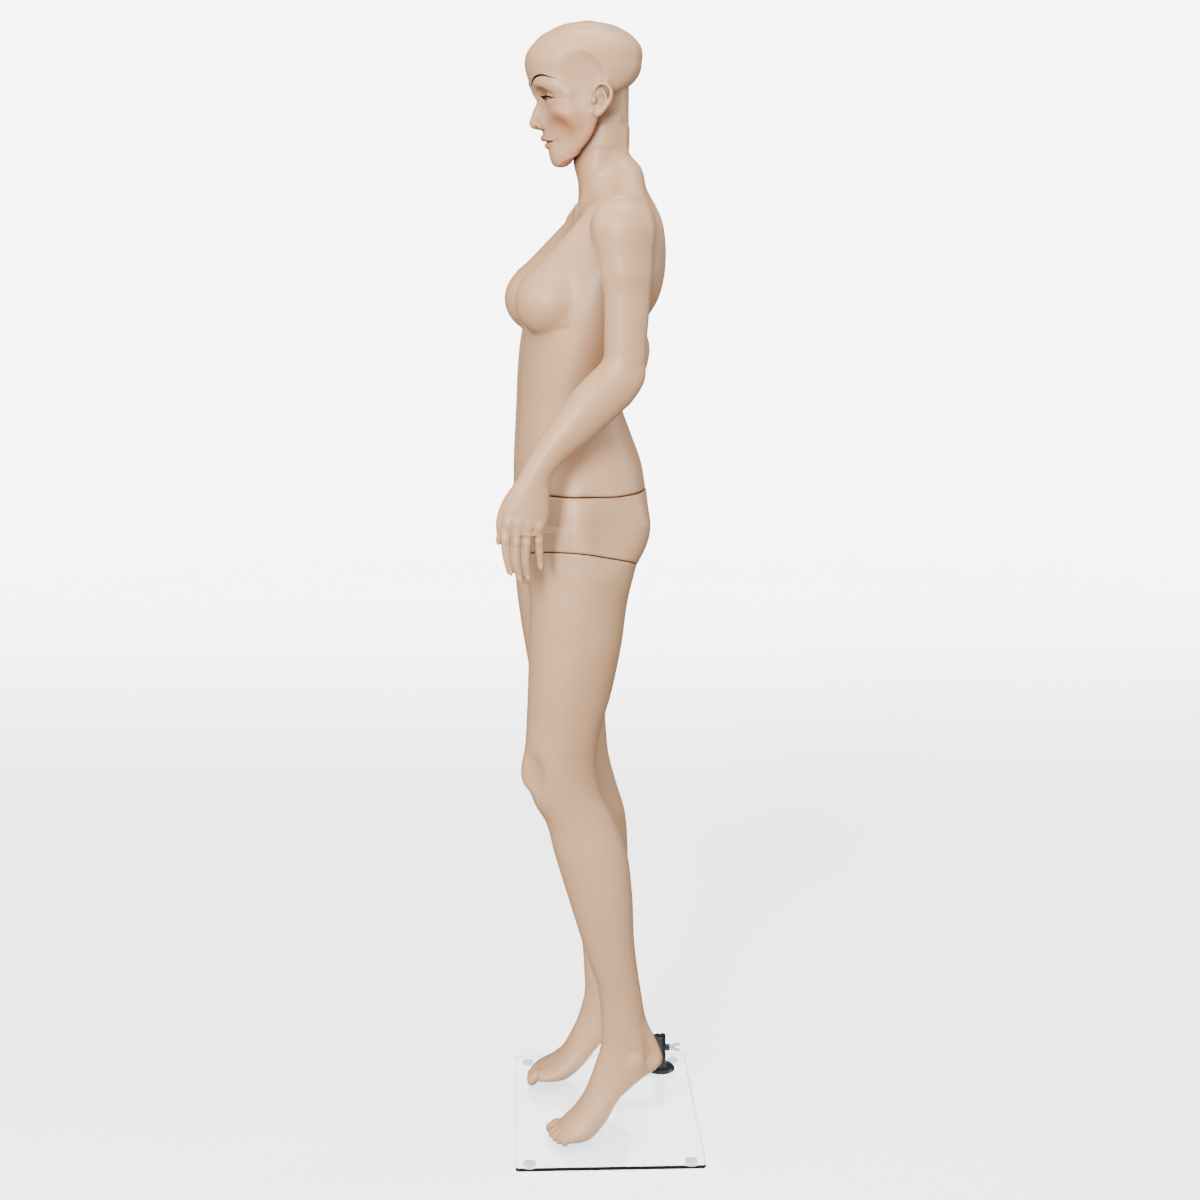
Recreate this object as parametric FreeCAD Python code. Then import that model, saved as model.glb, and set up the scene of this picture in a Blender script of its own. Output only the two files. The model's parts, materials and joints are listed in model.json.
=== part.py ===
import FreeCAD, Part
import math
import os

from FreeCAD import Placement, Rotation, Vector

# Full body display mannequin on a glass base plate. Millimetres, +Z up, the figure looks along -Y.
# The origin is on the floor, under the centre of the glass plate.

# ---- driving dimensions -------------------------------------------------------------------
BASE_WIDTH = 400.0
BASE_DEPTH = 300.0
GLASS_THICKNESS = 6.0
CORNER_RADIUS = 6.0
PAD_HEIGHT = 4.0
PAD_RADIUS = 10.0
PAD_INSET = 22.0

BODY_TURN = 7.0           # the figure stands turned to its own left on the plate, degrees
BODY_PIVOT_Y = -40.0      # the figure is turned about a vertical line through (0, BODY_PIVOT_Y)
WALL = 2.5                # wall of the blow-moulded shells
SEAM_GAP = 0.4            # air between two shells that can be taken apart
SKIN_POINTS = 20          # points that one section ring is drawn through
ROUND = 2.0               # exponent of a plain elliptical section
FULL = 2.35               # exponent of the fuller torso and hip sections

WAIST_SEAM_Z = 1061.0
LEG_SEAM_X = 165.0        # the leg seam planes pass through this point on each hip
LEG_SEAM_Y = -54.0
LEG_SEAM_Z = 978.0
LEG_SEAM_SLOPE_X = 0.27   # rise of the seam plane towards the outside of the hip
LEG_SEAM_SLOPE_Y = -0.14  # fall of the seam plane towards the back

NECK_RADIUS = 42.0
NECK_AXIS_Y = -15.3
NECK_TOP_Z = 1665.0
HEAD_BORE_GAP = 0.8

SHOULDER_X = 148.0        # seam plane between torso and arm
SHOULDER_Y = -10.0
SHOULDER_Z = 1450.0
SHOULDER_RADIUS = 46.0
RIGHT_ARM_BACK = 21.5     # the right arm hangs further back than the left one, degrees

POST_X = -138.0           # stand post behind the right heel
POST_Y = 103.0
POST_TOP_Z = 62.0
HEEL_X = -110.0           # socket in the right heel, in the figure's own frame
HEEL_Y = 46.0
SPIGOT_RADIUS = 5.0
RUNNING_GAP = 0.05        # radial clearance of every stud, pin and spigot in its bore
PIN_RADIUS = 5.0
THREAD_RADIUS = 3.0

GLASS_TOP = PAD_HEIGHT + GLASS_THICKNESS
X_AXIS = Vector(1, 0, 0)
Z_AXIS = Vector(0, 0, 1)
BIG = 900.0

os.makedirs("parts", exist_ok=True)


# ---- helpers ------------------------------------------------------------------------------
def save(name, *solids):
    """Write one node; several separate solids become one group."""
    shape = solids[0] if len(solids) == 1 else Part.makeCompound(list(solids))
    shape.exportStep("parts/" + name + ".step")


def turned(shape):
    """Turn a piece of the figure from its own frame to its place on the plate."""
    copy = shape.copy()
    copy.rotate(Vector(0, BODY_PIVOT_Y, 0), Z_AXIS, BODY_TURN)
    return copy


def save_body(name, *solids):
    save(name, *[turned(s) for s in solids])


def mirrored(shape):
    return shape.mirror(Vector(0, 0, 0), X_AXIS)


def cylinder(radius, start, end):
    """Round bar between two points."""
    axis = end.sub(start)
    return Part.makeCylinder(radius, axis.Length, start, axis)


def cone(radius_1, radius_2, start, end):
    axis = end.sub(start)
    return Part.makeCone(radius_1, radius_2, axis.Length, start, axis)


def ring(front, back, x, half, power=ROUND, inset=0.0):
    """Closed section through the points front and back, each (y, z), and half wide each side of x."""
    middle = Vector(x, (front[0] + back[0]) / 2, (front[1] + back[1]) / 2)
    arm = Vector(0, front[0] - back[0], front[1] - back[1])
    reach = arm.Length / 2 - inset
    arm.normalize()
    points = []
    for i in range(SKIN_POINTS):
        angle = 2 * math.pi * i / SKIN_POINTS
        c = math.cos(angle)
        s = math.sin(angle)
        along = math.copysign(abs(c) ** (2 / power), c) * reach
        across = math.copysign(abs(s) ** (2 / power), s) * (half - inset)
        points.append(middle + arm * along + X_AXIS * across)
    curve = Part.BSplineCurve()
    curve.interpolate(Points=points, PeriodicFlag=True)
    return Part.Wire([curve.toShape()])


def blended(a, b, share):
    """Station part of the way from station a to station b."""
    def mix(p, q):
        return p + (q - p) * share
    front = (mix(a[0][0], b[0][0]), mix(a[0][1], b[0][1]))
    back = (mix(a[1][0], b[1][0]), mix(a[1][1], b[1][1]))
    return (front, back, mix(a[2], b[2]), mix(a[3], b[3]))


def gap_between(a, b):
    """Distance between the middles of two stations."""
    dy = (a[0][0] + a[1][0] - b[0][0] - b[1][0]) / 2
    dz = (a[0][1] + a[1][1] - b[0][1] - b[1][1]) / 2
    return math.hypot(dy, dz)


def skin(stations, power=ROUND, inset=0.0):
    """Solid lofted through stations (front, back, x, half); an inset one also stops short of the ends."""
    rows = list(stations)
    if inset:
        rows[0] = blended(rows[0], rows[1], inset / gap_between(rows[0], rows[1]))
        rows[-1] = blended(rows[-1], rows[-2], inset / gap_between(rows[-1], rows[-2]))
    wires = [ring(f, b, x, half, power, inset) for f, b, x, half in rows]
    return Part.makeLoft(wires, True, False)


def hollowed(outer, inner):
    """One closed shell: the outer form with the inner form as its hollow."""
    outside = outer.Solids[0].OuterShell
    inside = inner.Solids[0].OuterShell.reversed()
    return Part.makeSolid(Part.makeCompound([outside, inside]))


def level(z, front, back, half, x=0.0):
    """Horizontal station."""
    return ((front, z), (back, z), x, half)


def egg(x, y, z, rx, ry, rz):
    """Ellipsoid."""
    matrix = FreeCAD.Matrix()
    matrix.scale(rx, ry, rz)
    shape = Part.makeSphere(1.0).transformGeometry(matrix)
    shape.translate(Vector(x, y, z))
    return shape


def bead_finger(points, radii):
    """Round tapered finger along a short chain of points."""
    pieces = []
    for p, r in zip(points, radii):
        pieces.append(Part.makeSphere(r, p))
    for (p, q, r, t) in zip(points, points[1:], radii, radii[1:]):
        pieces.append(cone(r, t, p, q))
    return pieces[0].fuse(pieces[1:])


def seam_normal(side):
    normal = Vector(-side * LEG_SEAM_SLOPE_X, -LEG_SEAM_SLOPE_Y, 1)
    normal.normalize()
    return normal


def seam_point(side, x, y):
    """Point of a leg seam plane at a distance x outward from the middle."""
    rise = LEG_SEAM_SLOPE_X * (x - LEG_SEAM_X) + LEG_SEAM_SLOPE_Y * (y - LEG_SEAM_Y)
    return Vector(side * x, y, LEG_SEAM_Z + rise)


def leg_side_block(side, offset, above):
    """Big block above or below a leg seam plane that is moved by offset along its normal."""
    normal = seam_normal(side)
    block = Part.makeBox(BIG, BIG, BIG, Vector(-BIG / 2, -BIG / 2, 0 if above else -BIG))
    block.Placement = Placement(seam_point(side, LEG_SEAM_X, LEG_SEAM_Y) + normal * offset,
                                Rotation(Z_AXIS, normal))
    return block


def flat_screw(tip_from_head, axis, head_point, head_radius=3.8, shank_radius=2.0):
    """Countersunk screw, its flat head at head_point and its shank along axis."""
    head_end = head_point + axis * (head_radius - shank_radius)
    head = cone(head_radius, shank_radius, head_point, head_end)
    return head.fuse(cylinder(shank_radius, head_end, head_point + axis * tip_from_head))


def screw_circle(centre, axis, across, radius, count, length):
    """Countersunk screws on a circle; across is a direction square to axis."""
    screws = []
    for i in range(count):
        arm = Rotation(axis, 360.0 * i / count).multVec(across)
        screws.append(flat_screw(length, axis, centre + arm * radius))
    return screws


# ---- stand --------------------------------------------------------------------------------
FLANGE_RADIUS = 25.5
FLANGE_HEIGHT = 7.0
GASKET = 1.0
POST_FOOT_RADIUS = 10.5
POST_HEAD_RADIUS = 9.0
BOSS_RADIUS = 5.8
BOSS_REACH = 15.5
BOSS_Z = 50.0
POST_FLOOR_Z = 30.0       # the post is solid below this height and bored above it
BOLT_RADIUS = 4.0
BOLT_HEAD_RADIUS = 7.5
BOLT_HEAD = 2.4
WASHER = 0.8
WING_SPAN = 14.0
WING_START = 17.0
WING_END = 34.5


def make_glass_base():
    plate = Part.makeBox(BASE_WIDTH, BASE_DEPTH, GLASS_THICKNESS,
                         Vector(-BASE_WIDTH / 2, -BASE_DEPTH / 2, PAD_HEIGHT))
    upright = [e for e in plate.Edges if abs(e.tangentAt(e.FirstParameter).z) > 0.9]
    plate = plate.makeFillet(CORNER_RADIUS, upright)
    rim = [e for e in plate.Edges if abs(e.tangentAt(e.FirstParameter).z) < 0.1]
    plate = plate.makeChamfer(0.6, rim)
    hole = cylinder(BOLT_RADIUS + 0.5, Vector(POST_X, POST_Y, 0), Vector(POST_X, POST_Y, GLASS_TOP + 1))
    save("glass_base", plate.cut(hole))


def make_pads():
    pads = []
    for sx in (-1, 1):
        for sy in (-1, 1):
            x = sx * (BASE_WIDTH / 2 - PAD_INSET)
            y = sy * (BASE_DEPTH / 2 - PAD_INSET)
            pads.append(cylinder(PAD_RADIUS, Vector(x, y, 0), Vector(x, y, PAD_HEIGHT)))
    save("base_pads", *pads)


def make_flange():
    """Domed flange and tapered post in one casting, bored for the arm pin, with a boss for the screw."""
    low = GLASS_TOP + GASKET
    profile = [
        Vector(0, 0, low),
        Vector(FLANGE_RADIUS, 0, low),
        Vector(FLANGE_RADIUS, 0, low + 2),
        Vector(FLANGE_RADIUS - 3, 0, low + 5),
        Vector(POST_FOOT_RADIUS + 3, 0, low + FLANGE_HEIGHT),
        Vector(POST_FOOT_RADIUS, 0, low + FLANGE_HEIGHT + 3),
        Vector(POST_HEAD_RADIUS, 0, BOSS_Z - 8),
        Vector(POST_HEAD_RADIUS, 0, POST_TOP_Z),
        Vector(0, 0, POST_TOP_Z),
        Vector(0, 0, low),
    ]
    body = Part.Face(Part.makePolygon(profile)).revolve(Vector(0, 0, 0), Z_AXIS, 360)
    boss = cylinder(BOSS_RADIUS, Vector(0, 0, BOSS_Z), Vector(0, BOSS_REACH, BOSS_Z))
    bore = cylinder(PIN_RADIUS + RUNNING_GAP, Vector(0, 0, POST_FLOOR_Z), Vector(0, 0, POST_TOP_Z + 1))
    bolt_hole = cylinder(BOLT_RADIUS, Vector(0, 0, 0), Vector(0, 0, POST_FLOOR_Z - 4))
    screw_hole = cylinder(THREAD_RADIUS + RUNNING_GAP, Vector(0, 0, BOSS_Z), Vector(0, BOSS_REACH + 1, BOSS_Z))
    shape = body.fuse(boss).cut(bore).cut(bolt_hole).cut(screw_hole)
    shape.translate(Vector(POST_X, POST_Y, 0))
    save("stand_flange", shape)


def make_gasket():
    low = Vector(POST_X, POST_Y, GLASS_TOP)
    high = Vector(POST_X, POST_Y, GLASS_TOP + GASKET)
    disc = cylinder(FLANGE_RADIUS - 1.5, low, high)
    save("flange_gasket", disc.cut(cylinder(BOLT_RADIUS + 0.5, low, high)))


def make_flange_bolt():
    under = PAD_HEIGHT - WASHER
    foot = Vector(POST_X, POST_Y, under - BOLT_HEAD)
    head = cylinder(BOLT_HEAD_RADIUS, foot, Vector(POST_X, POST_Y, under))
    shank = cylinder(BOLT_RADIUS, foot, Vector(POST_X, POST_Y, POST_FLOOR_Z - 5))
    recess = cylinder(2.5, foot, foot + Z_AXIS * 1.5)
    save("flange_bolt", head.fuse(shank).cut(recess))


def make_flange_washer():
    low = Vector(POST_X, POST_Y, PAD_HEIGHT - WASHER)
    high = Vector(POST_X, POST_Y, PAD_HEIGHT)
    save("flange_washer", cylinder(BOLT_HEAD_RADIUS + 2, low, high).cut(cylinder(BOLT_RADIUS, low, high)))


def make_wing_screw():
    """Thumb screw with two flared wings; its tip stops just short of the arm pin."""
    start = Vector(0, PIN_RADIUS + 0.4, BOSS_Z)
    shank = cylinder(THREAD_RADIUS, start, Vector(0, WING_START + 2, BOSS_Z))
    hub = cylinder(THREAD_RADIUS + 1.6, Vector(0, WING_START - 1, BOSS_Z), Vector(0, WING_START + 5, BOSS_Z))
    wing = Part.makePolygon([
        Vector(0, WING_START + 1, 0),
        Vector(THREAD_RADIUS + 1, WING_START, 0),
        Vector(WING_SPAN / 2, WING_END - 6, 0),
        Vector(WING_SPAN / 2 - 0.5, WING_END, 0),
        Vector(WING_SPAN / 2 - 3, WING_END - 1, 0),
        Vector(0.5, WING_START + 6, 0),
        Vector(0, WING_START + 1, 0),
    ])
    blade = Part.Face(wing).extrude(Vector(0, 0, 2.2))
    blade.translate(Vector(0, 0, BOSS_Z - 1.1))
    shape = shank.fuse([hub, blade, mirrored(blade)])
    shape.rotate(Vector(0, 0, BOSS_Z), Vector(0, 1, 0), 90)
    shape.translate(Vector(POST_X, POST_Y, 0))
    save("wing_screw", shape)


# ---- heel arm -----------------------------------------------------------------------------
ARM_LOW_Z = POST_TOP_Z + 0.4
ARM_THICKNESS = 11.0
ARM_HALF_WIDTH = 8.5
COLLAR_Z = 92.0
COLLAR_HEIGHT = 4.0
SPIGOT_TOP_Z = 182.0
BUSH_RADIUS = 8.0


def heel_point(z):
    """Point on the heel socket's axis, in the plate's frame."""
    spot = Vector(HEEL_X, HEEL_Y - BODY_PIVOT_Y, 0)
    spot = Rotation(Z_AXIS, BODY_TURN).multVec(spot)
    return Vector(spot.x, spot.y + BODY_PIVOT_Y, z)


def make_heel_arm():
    """Flat arm from the post to the heel, with the pin that turns in the post."""
    post = Vector(POST_X, POST_Y, ARM_LOW_Z)
    heel = heel_point(ARM_LOW_Z)
    along = heel.sub(post)
    bar = Part.makeBox(along.Length, 2 * ARM_HALF_WIDTH - 3, ARM_THICKNESS,
                       Vector(0, -ARM_HALF_WIDTH + 1.5, 0))
    angle = math.degrees(math.atan2(along.y, along.x))
    bar.Placement = Placement(post, Rotation(Z_AXIS, angle))
    rise = Z_AXIS * ARM_THICKNESS
    hub = cylinder(POST_HEAD_RADIUS, post, post + rise)
    eye = cylinder(ARM_HALF_WIDTH, heel, heel + rise)
    pin = cylinder(PIN_RADIUS, Vector(POST_X, POST_Y, POST_FLOOR_Z + 0.5), post + Z_AXIS)
    saddle = cylinder(3.0, post + rise + Vector(-12, 0, 0.8), post + rise + Vector(12, 0, 0.8))
    bore = cylinder(SPIGOT_RADIUS, heel - Z_AXIS, heel + rise + Z_AXIS)
    save("heel_arm", hub.fuse([bar, eye, pin]).cut(saddle).cut(bore))


def make_heel_spigot():
    low = heel_point(ARM_LOW_Z - 9)
    rod = cylinder(SPIGOT_RADIUS, low, heel_point(SPIGOT_TOP_Z - 3))
    tip = cone(SPIGOT_RADIUS, SPIGOT_RADIUS - 2, heel_point(SPIGOT_TOP_Z - 3), heel_point(SPIGOT_TOP_Z))
    collar = cylinder(BUSH_RADIUS + 1.5, heel_point(COLLAR_Z - COLLAR_HEIGHT), heel_point(COLLAR_Z))
    shoulder = cylinder(SPIGOT_RADIUS + 2, heel_point(ARM_LOW_Z + ARM_THICKNESS), heel_point(COLLAR_Z - 1))
    save("heel_spigot", rod.fuse([tip, collar, shoulder]))


def make_spigot_nut():
    low = heel_point(ARM_LOW_Z - 6)
    points = [low + Rotation(Z_AXIS, 60 * i).multVec(Vector(9, 0, 0)) for i in range(6)]
    nut = Part.Face(Part.makePolygon(points + points[:1])).extrude(Z_AXIS * 6)
    save("spigot_nut", nut.cut(cylinder(SPIGOT_RADIUS, low - Z_AXIS, low + Z_AXIS * 7)))


# ---- hips and legs ------------------------------------------------------------------------
# A station is (front point, back point, x of the middle, half width); points are (y, z).
HIP_STATIONS = [
    level(WAIST_SEAM_Z - SEAM_GAP, -145, 54, 152),
    level(1035, -143, 58, 160),
    level(1000, -141, 62, 165.5),
    level(970, -139, 56, 166),
    level(940, -137, 38, 164),
    level(905, -133, 14, 158),
]
LEFT_LEG_STATIONS = [
    level(1000, -139, 56, 82.5, 83.5),
    level(945, -137, 36, 82, 83.5),
    level(900, -135, 16, 78, 85),
    level(825, -137, 5, 71, 89),
    level(750, -140, -11, 63, 93),
    level(690, -142, -27, 57, 95),
    level(640, -147, -34, 52, 96),
    level(595, -142, -29, 48, 97),
    level(545, -113, -4, 48, 98),
    level(495, -100, 14, 49, 99),
    level(430, -81, 23, 48, 100),
    level(340, -54, 27, 40, 101),
    level(260, -30, 38, 31, 102),
    level(205, -24, 49, 28, 102),
    ((-25, 165), (70, 160), 102, 28),
    ((-36, 128), (74, 134), 102, 30),
    ((-53, 95), (42, 112), 102, 31),
    ((-70, 70), (8, 82), 102, 34),
    ((-86, 55), (-16, 42), 102, 39),
    ((-97, 49), (-42, 15), 102, 42),
    ((-105, 44), (-70, 13), 102, 38),
    ((-111, 37), (-97, 17), 102, 29),
]
RIGHT_LEG_STATIONS = [
    level(1000, -139, 56, 82.5, -83.5),
    level(945, -137, 36, 82, -83.5),
    level(900, -136, 18, 78, -86),
    level(825, -127, 8, 71, -91),
    level(750, -114, 8, 63, -96),
    level(690, -104, 13, 57, -99),
    level(640, -100, 14, 52, -101),
    level(595, -93, 20, 48, -103),
    level(545, -76, 33, 48, -104),
    level(495, -65, 48, 49, -105),
    level(430, -50, 54, 48, -106),
    level(340, -32, 52, 40, -108),
    level(260, -22, 47, 31, -109),
    level(205, -18, 52, 28, -110),
    ((-18, 160), (64, 152), -110, 28),
    ((-29, 120), (70, 126), -110, 30),
    ((-46, 88), (38, 102), -110, 31),
    ((-62, 64), (6, 70), -110, 34),
    ((-80, 54), (-22, 37), -110, 39),
    ((-100, 49), (-50, 15), -110, 42),
    ((-113, 42), (-78, 13), -110, 38),
    ((-121, 34), (-106, 18), -110, 29),
]
LEG_LOCK_X = 84.0
LEG_LOCK_Y = -45.0
LOCK_RADIUS = 34.0
LOCK_PLATE = 3.0
LOCK_HUB_RADIUS = 16.0
LOCK_STUD_RADIUS = 12.0
LOCK_SCREW_CIRCLE = 26.0


def make_hips():
    outer = skin(HIP_STATIONS, FULL)
    inner = skin(HIP_STATIONS, FULL, WALL)
    for side in (-1, 1):
        outer = outer.cut(leg_side_block(side, 0, False))
        inner = inner.cut(leg_side_block(side, WALL, False))
    shape = hollowed(outer, inner)
    shape = shape.cut(waist_hole(WAIST_SEAM_Z - 2 * WALL - 1, WAIST_SEAM_Z))
    for side in (-1, 1):
        centre = seam_point(side, LEG_LOCK_X, LEG_LOCK_Y)
        normal = seam_normal(side)
        shape = shape.cut(cylinder(LOCK_HUB_RADIUS, centre - normal * WALL, centre + normal * 2 * WALL))
    save_body("hips_shell", shape.cut(waist_screws(False)))


def leg_lock_screws(side):
    """Screws of one leg plate, set from inside the leg."""
    centre = seam_point(side, LEG_LOCK_X, LEG_LOCK_Y)
    normal = seam_normal(side)
    across = Vector(0, 1, 0).cross(normal)
    across.normalize()
    head = centre - normal * (WALL + LOCK_PLATE)
    return screw_circle(head, normal, across, LOCK_SCREW_CIRCLE, 4, WALL + LOCK_PLATE)


def make_leg(name, side, stations):
    outer = skin(stations).cut(leg_side_block(side, 0, True))
    inner = skin(stations, ROUND, WALL).cut(leg_side_block(side, -WALL, True))
    shape = hollowed(outer, inner)
    centre = seam_point(side, LEG_LOCK_X, LEG_LOCK_Y)
    normal = seam_normal(side)
    shape = shape.cut(cylinder(LOCK_HUB_RADIUS, centre - normal * 2 * WALL, centre + normal * WALL))
    shape = shape.cut(Part.makeCompound(leg_lock_screws(side)))
    if side < 0:
        low = Vector(HEEL_X, HEEL_Y, COLLAR_Z - 1)
        shape = shape.cut(cylinder(BUSH_RADIUS, low, low + Z_AXIS * (SPIGOT_TOP_Z - COLLAR_Z + 6)))
    save_body(name, shape)


def make_leg_lock(name, side):
    """Twist lock of one leg: a stud plate inside the leg and a keyed plate inside the hips."""
    centre = seam_point(side, LEG_LOCK_X, LEG_LOCK_Y)
    normal = seam_normal(side)
    screws = leg_lock_screws(side)
    inside_hip = centre + normal * WALL
    plate = cylinder(LOCK_RADIUS, inside_hip, inside_hip + normal * LOCK_PLATE)
    hub = cylinder(LOCK_HUB_RADIUS, centre, inside_hip)
    bore = cylinder(LOCK_STUD_RADIUS, centre, inside_hip + normal * LOCK_PLATE)
    save_body(name + "_leg_lock", plate.fuse(hub).cut(bore))
    inside_leg = centre - normal * WALL
    flange = cylinder(LOCK_RADIUS, inside_leg - normal * LOCK_PLATE, inside_leg)
    collar = cylinder(LOCK_HUB_RADIUS, inside_leg, centre)
    neck = cylinder(LOCK_STUD_RADIUS, centre, inside_hip + normal * LOCK_PLATE)
    lug_low = inside_hip + normal * LOCK_PLATE
    lug = cylinder(LOCK_STUD_RADIUS, lug_low, lug_low + normal * 5)
    key = Part.makeBox(30, 9, 5, Vector(-15, -4.5, 0))
    key.Placement = Placement(lug_low, Rotation(Z_AXIS, normal))
    save_body(name + "_leg_stud", flange.fuse([collar, neck, lug, key]).cut(Part.makeCompound(screws)))
    save_body(name + "_leg_screws", *screws)


def make_heel_bush():
    low = Vector(HEEL_X, HEEL_Y, COLLAR_Z + 0.3)
    tube = cylinder(BUSH_RADIUS, low, Vector(HEEL_X, HEEL_Y, SPIGOT_TOP_Z + 4))
    bore = cylinder(SPIGOT_RADIUS + RUNNING_GAP, low, Vector(HEEL_X, HEEL_Y, SPIGOT_TOP_Z + 1))
    save_body("heel_bush", tube.cut(bore))


# ---- waist joint --------------------------------------------------------------------------
WAIST_X = 0.0
WAIST_Y = -45.0
WAIST_PLATE_RADIUS = 60.0
WAIST_PLATE = 3.0
PEG_HALF = 14.0
PEG_GAP = 0.3
PEG_WALL = 3.0
PEG_LENGTH = 52.0
WAIST_SCREW_CIRCLE = 48.0


def square_bar(half, low, high):
    return Part.makeBox(2 * half, 2 * half, high - low, Vector(WAIST_X - half, WAIST_Y - half, low))


def waist_hole(low, high):
    return square_bar(PEG_HALF + PEG_GAP + PEG_WALL, low, high)


def waist_screws(upper):
    """Screws of one waist plate as one compound; they are set from the seam side."""
    if upper:
        head = Vector(WAIST_X, WAIST_Y, WAIST_SEAM_Z)
        axis = Z_AXIS
    else:
        head = Vector(WAIST_X, WAIST_Y, WAIST_SEAM_Z - SEAM_GAP)
        axis = Z_AXIS * -1
    return Part.makeCompound(screw_circle(head, axis, X_AXIS, WAIST_SCREW_CIRCLE, 4, 14))


def make_waist_socket():
    """Plate under the top of the hips with a square socket for the torso's peg."""
    top = WAIST_SEAM_Z - SEAM_GAP
    plate_top = top - WALL
    plate = cylinder(WAIST_PLATE_RADIUS, Vector(WAIST_X, WAIST_Y, plate_top - WAIST_PLATE),
                     Vector(WAIST_X, WAIST_Y, plate_top))
    tube = square_bar(PEG_HALF + PEG_GAP + PEG_WALL, top - PEG_LENGTH - 8, top)
    well = square_bar(PEG_HALF + PEG_GAP, top - PEG_LENGTH - 4, top + 1)
    save_body("waist_socket", plate.fuse(tube).cut(well).cut(waist_screws(False)))
    save_body("waist_socket_screws", *waist_screws(False).Solids)


def make_waist_peg():
    """Plate above the bottom of the torso with the square peg that carries the upper body."""
    low = WAIST_SEAM_Z + WALL
    plate = cylinder(WAIST_PLATE_RADIUS, Vector(WAIST_X, WAIST_Y, low), Vector(WAIST_X, WAIST_Y, low + WAIST_PLATE))
    peg = square_bar(PEG_HALF, WAIST_SEAM_Z - PEG_LENGTH, low + 1)
    hollow = square_bar(PEG_HALF - PEG_WALL, WAIST_SEAM_Z - PEG_LENGTH - 1, low - 1)
    save_body("waist_peg", plate.fuse(peg).cut(hollow).cut(waist_screws(True)))
    save_body("waist_peg_screws", *waist_screws(True).Solids)


# ---- torso --------------------------------------------------------------------------------
TORSO_STATIONS = [
    level(WAIST_SEAM_Z, -145, 52, 152),
    level(1100, -144, 40, 139),
    level(1150, -143, 24, 123),
    level(1190, -142, 14, 116),
    level(1235, -141, 20, 119),
    level(1290, -137, 42, 128),
    level(1345, -124, 66, 136),
    level(1395, -100, 76, 138),
    level(1435, -72, 77, 132),
    level(1465, -53, 74, 112),
    level(1488, -45, 66, 80),
    level(1515, -48, 50, 54),
    level(1548, -56, 27, 42),
]
BREAST_X = 66.0
BREAST_Y = -98.0
BREAST_Z = 1346.0
BREAST_RADII = (58.0, 56.0, 56.0)
SOCKET_RADIUS = 32.0
SOCKET_PLATE = 3.0
SOCKET_HUB_RADIUS = 12.0
SOCKET_HUB_LENGTH = 28.0
STUD_RADIUS = 6.0
STUD_REACH = 22.0
SHOULDER_SCREW_CIRCLE = 24.0


def shoulder_point(x, side=1):
    return Vector(side * x, SHOULDER_Y, SHOULDER_Z)


def torso_form(inset):
    """Outer form of the torso, or the hollow inside it when inset is given."""
    parts = []
    for side in (-1, 1):
        rx, ry, rz = [r - inset for r in BREAST_RADII]
        parts.append(egg(side * BREAST_X, BREAST_Y, BREAST_Z, rx, ry, rz))
        parts.append(cylinder(SHOULDER_RADIUS - inset, shoulder_point(70, side),
                              shoulder_point(SHOULDER_X - inset, side)))
    neck_low = Vector(0, NECK_AXIS_Y, 1530)
    neck_high = Vector(0, NECK_AXIS_Y, NECK_TOP_Z - inset)
    parts.append(cylinder(NECK_RADIUS - inset, neck_low, neck_high))
    return skin(TORSO_STATIONS, FULL, inset).fuse(parts)


def make_torso():
    shape = hollowed(torso_form(0.0), torso_form(WALL))
    shape = shape.cut(waist_hole(WAIST_SEAM_Z - 1, WAIST_SEAM_Z + 2 * WALL))
    shape = shape.cut(waist_screws(True))
    for side in (-1, 1):
        hub = cylinder(SOCKET_HUB_RADIUS, shoulder_point(SHOULDER_X - 2 * WALL, side),
                       shoulder_point(SHOULDER_X + 1, side))
        shape = shape.cut(hub)
        shape = shape.cut(Part.makeCompound(socket_screws(side)))
    pivot = cylinder(PIVOT_HUB_RADIUS, Vector(0, NECK_AXIS_Y, NECK_TOP_Z - 2 * WALL),
                     Vector(0, NECK_AXIS_Y, NECK_TOP_Z + 1))
    save_body("torso_shell", shape.cut(pivot))


def socket_screws(side):
    return screw_circle(shoulder_point(SHOULDER_X, side), Vector(-side, 0, 0), Z_AXIS,
                        SHOULDER_SCREW_CIRCLE, 3, 12)


def make_shoulder_socket(name, side):
    """Bearing plate inside one shoulder of the torso."""
    face = SHOULDER_X - WALL
    plate = cylinder(SOCKET_RADIUS, shoulder_point(face - SOCKET_PLATE, side), shoulder_point(face, side))
    hub = cylinder(SOCKET_HUB_RADIUS, shoulder_point(SHOULDER_X - SOCKET_HUB_LENGTH, side),
                   shoulder_point(SHOULDER_X, side))
    bore = cylinder(STUD_RADIUS + RUNNING_GAP, shoulder_point(SHOULDER_X - SOCKET_HUB_LENGTH - 1, side),
                    shoulder_point(SHOULDER_X + 1, side))
    screws = socket_screws(side)
    save_body(name + "_shoulder_socket", plate.fuse(hub).cut(bore).cut(Part.makeCompound(screws)))
    save_body(name + "_shoulder_screws", *screws)


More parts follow.
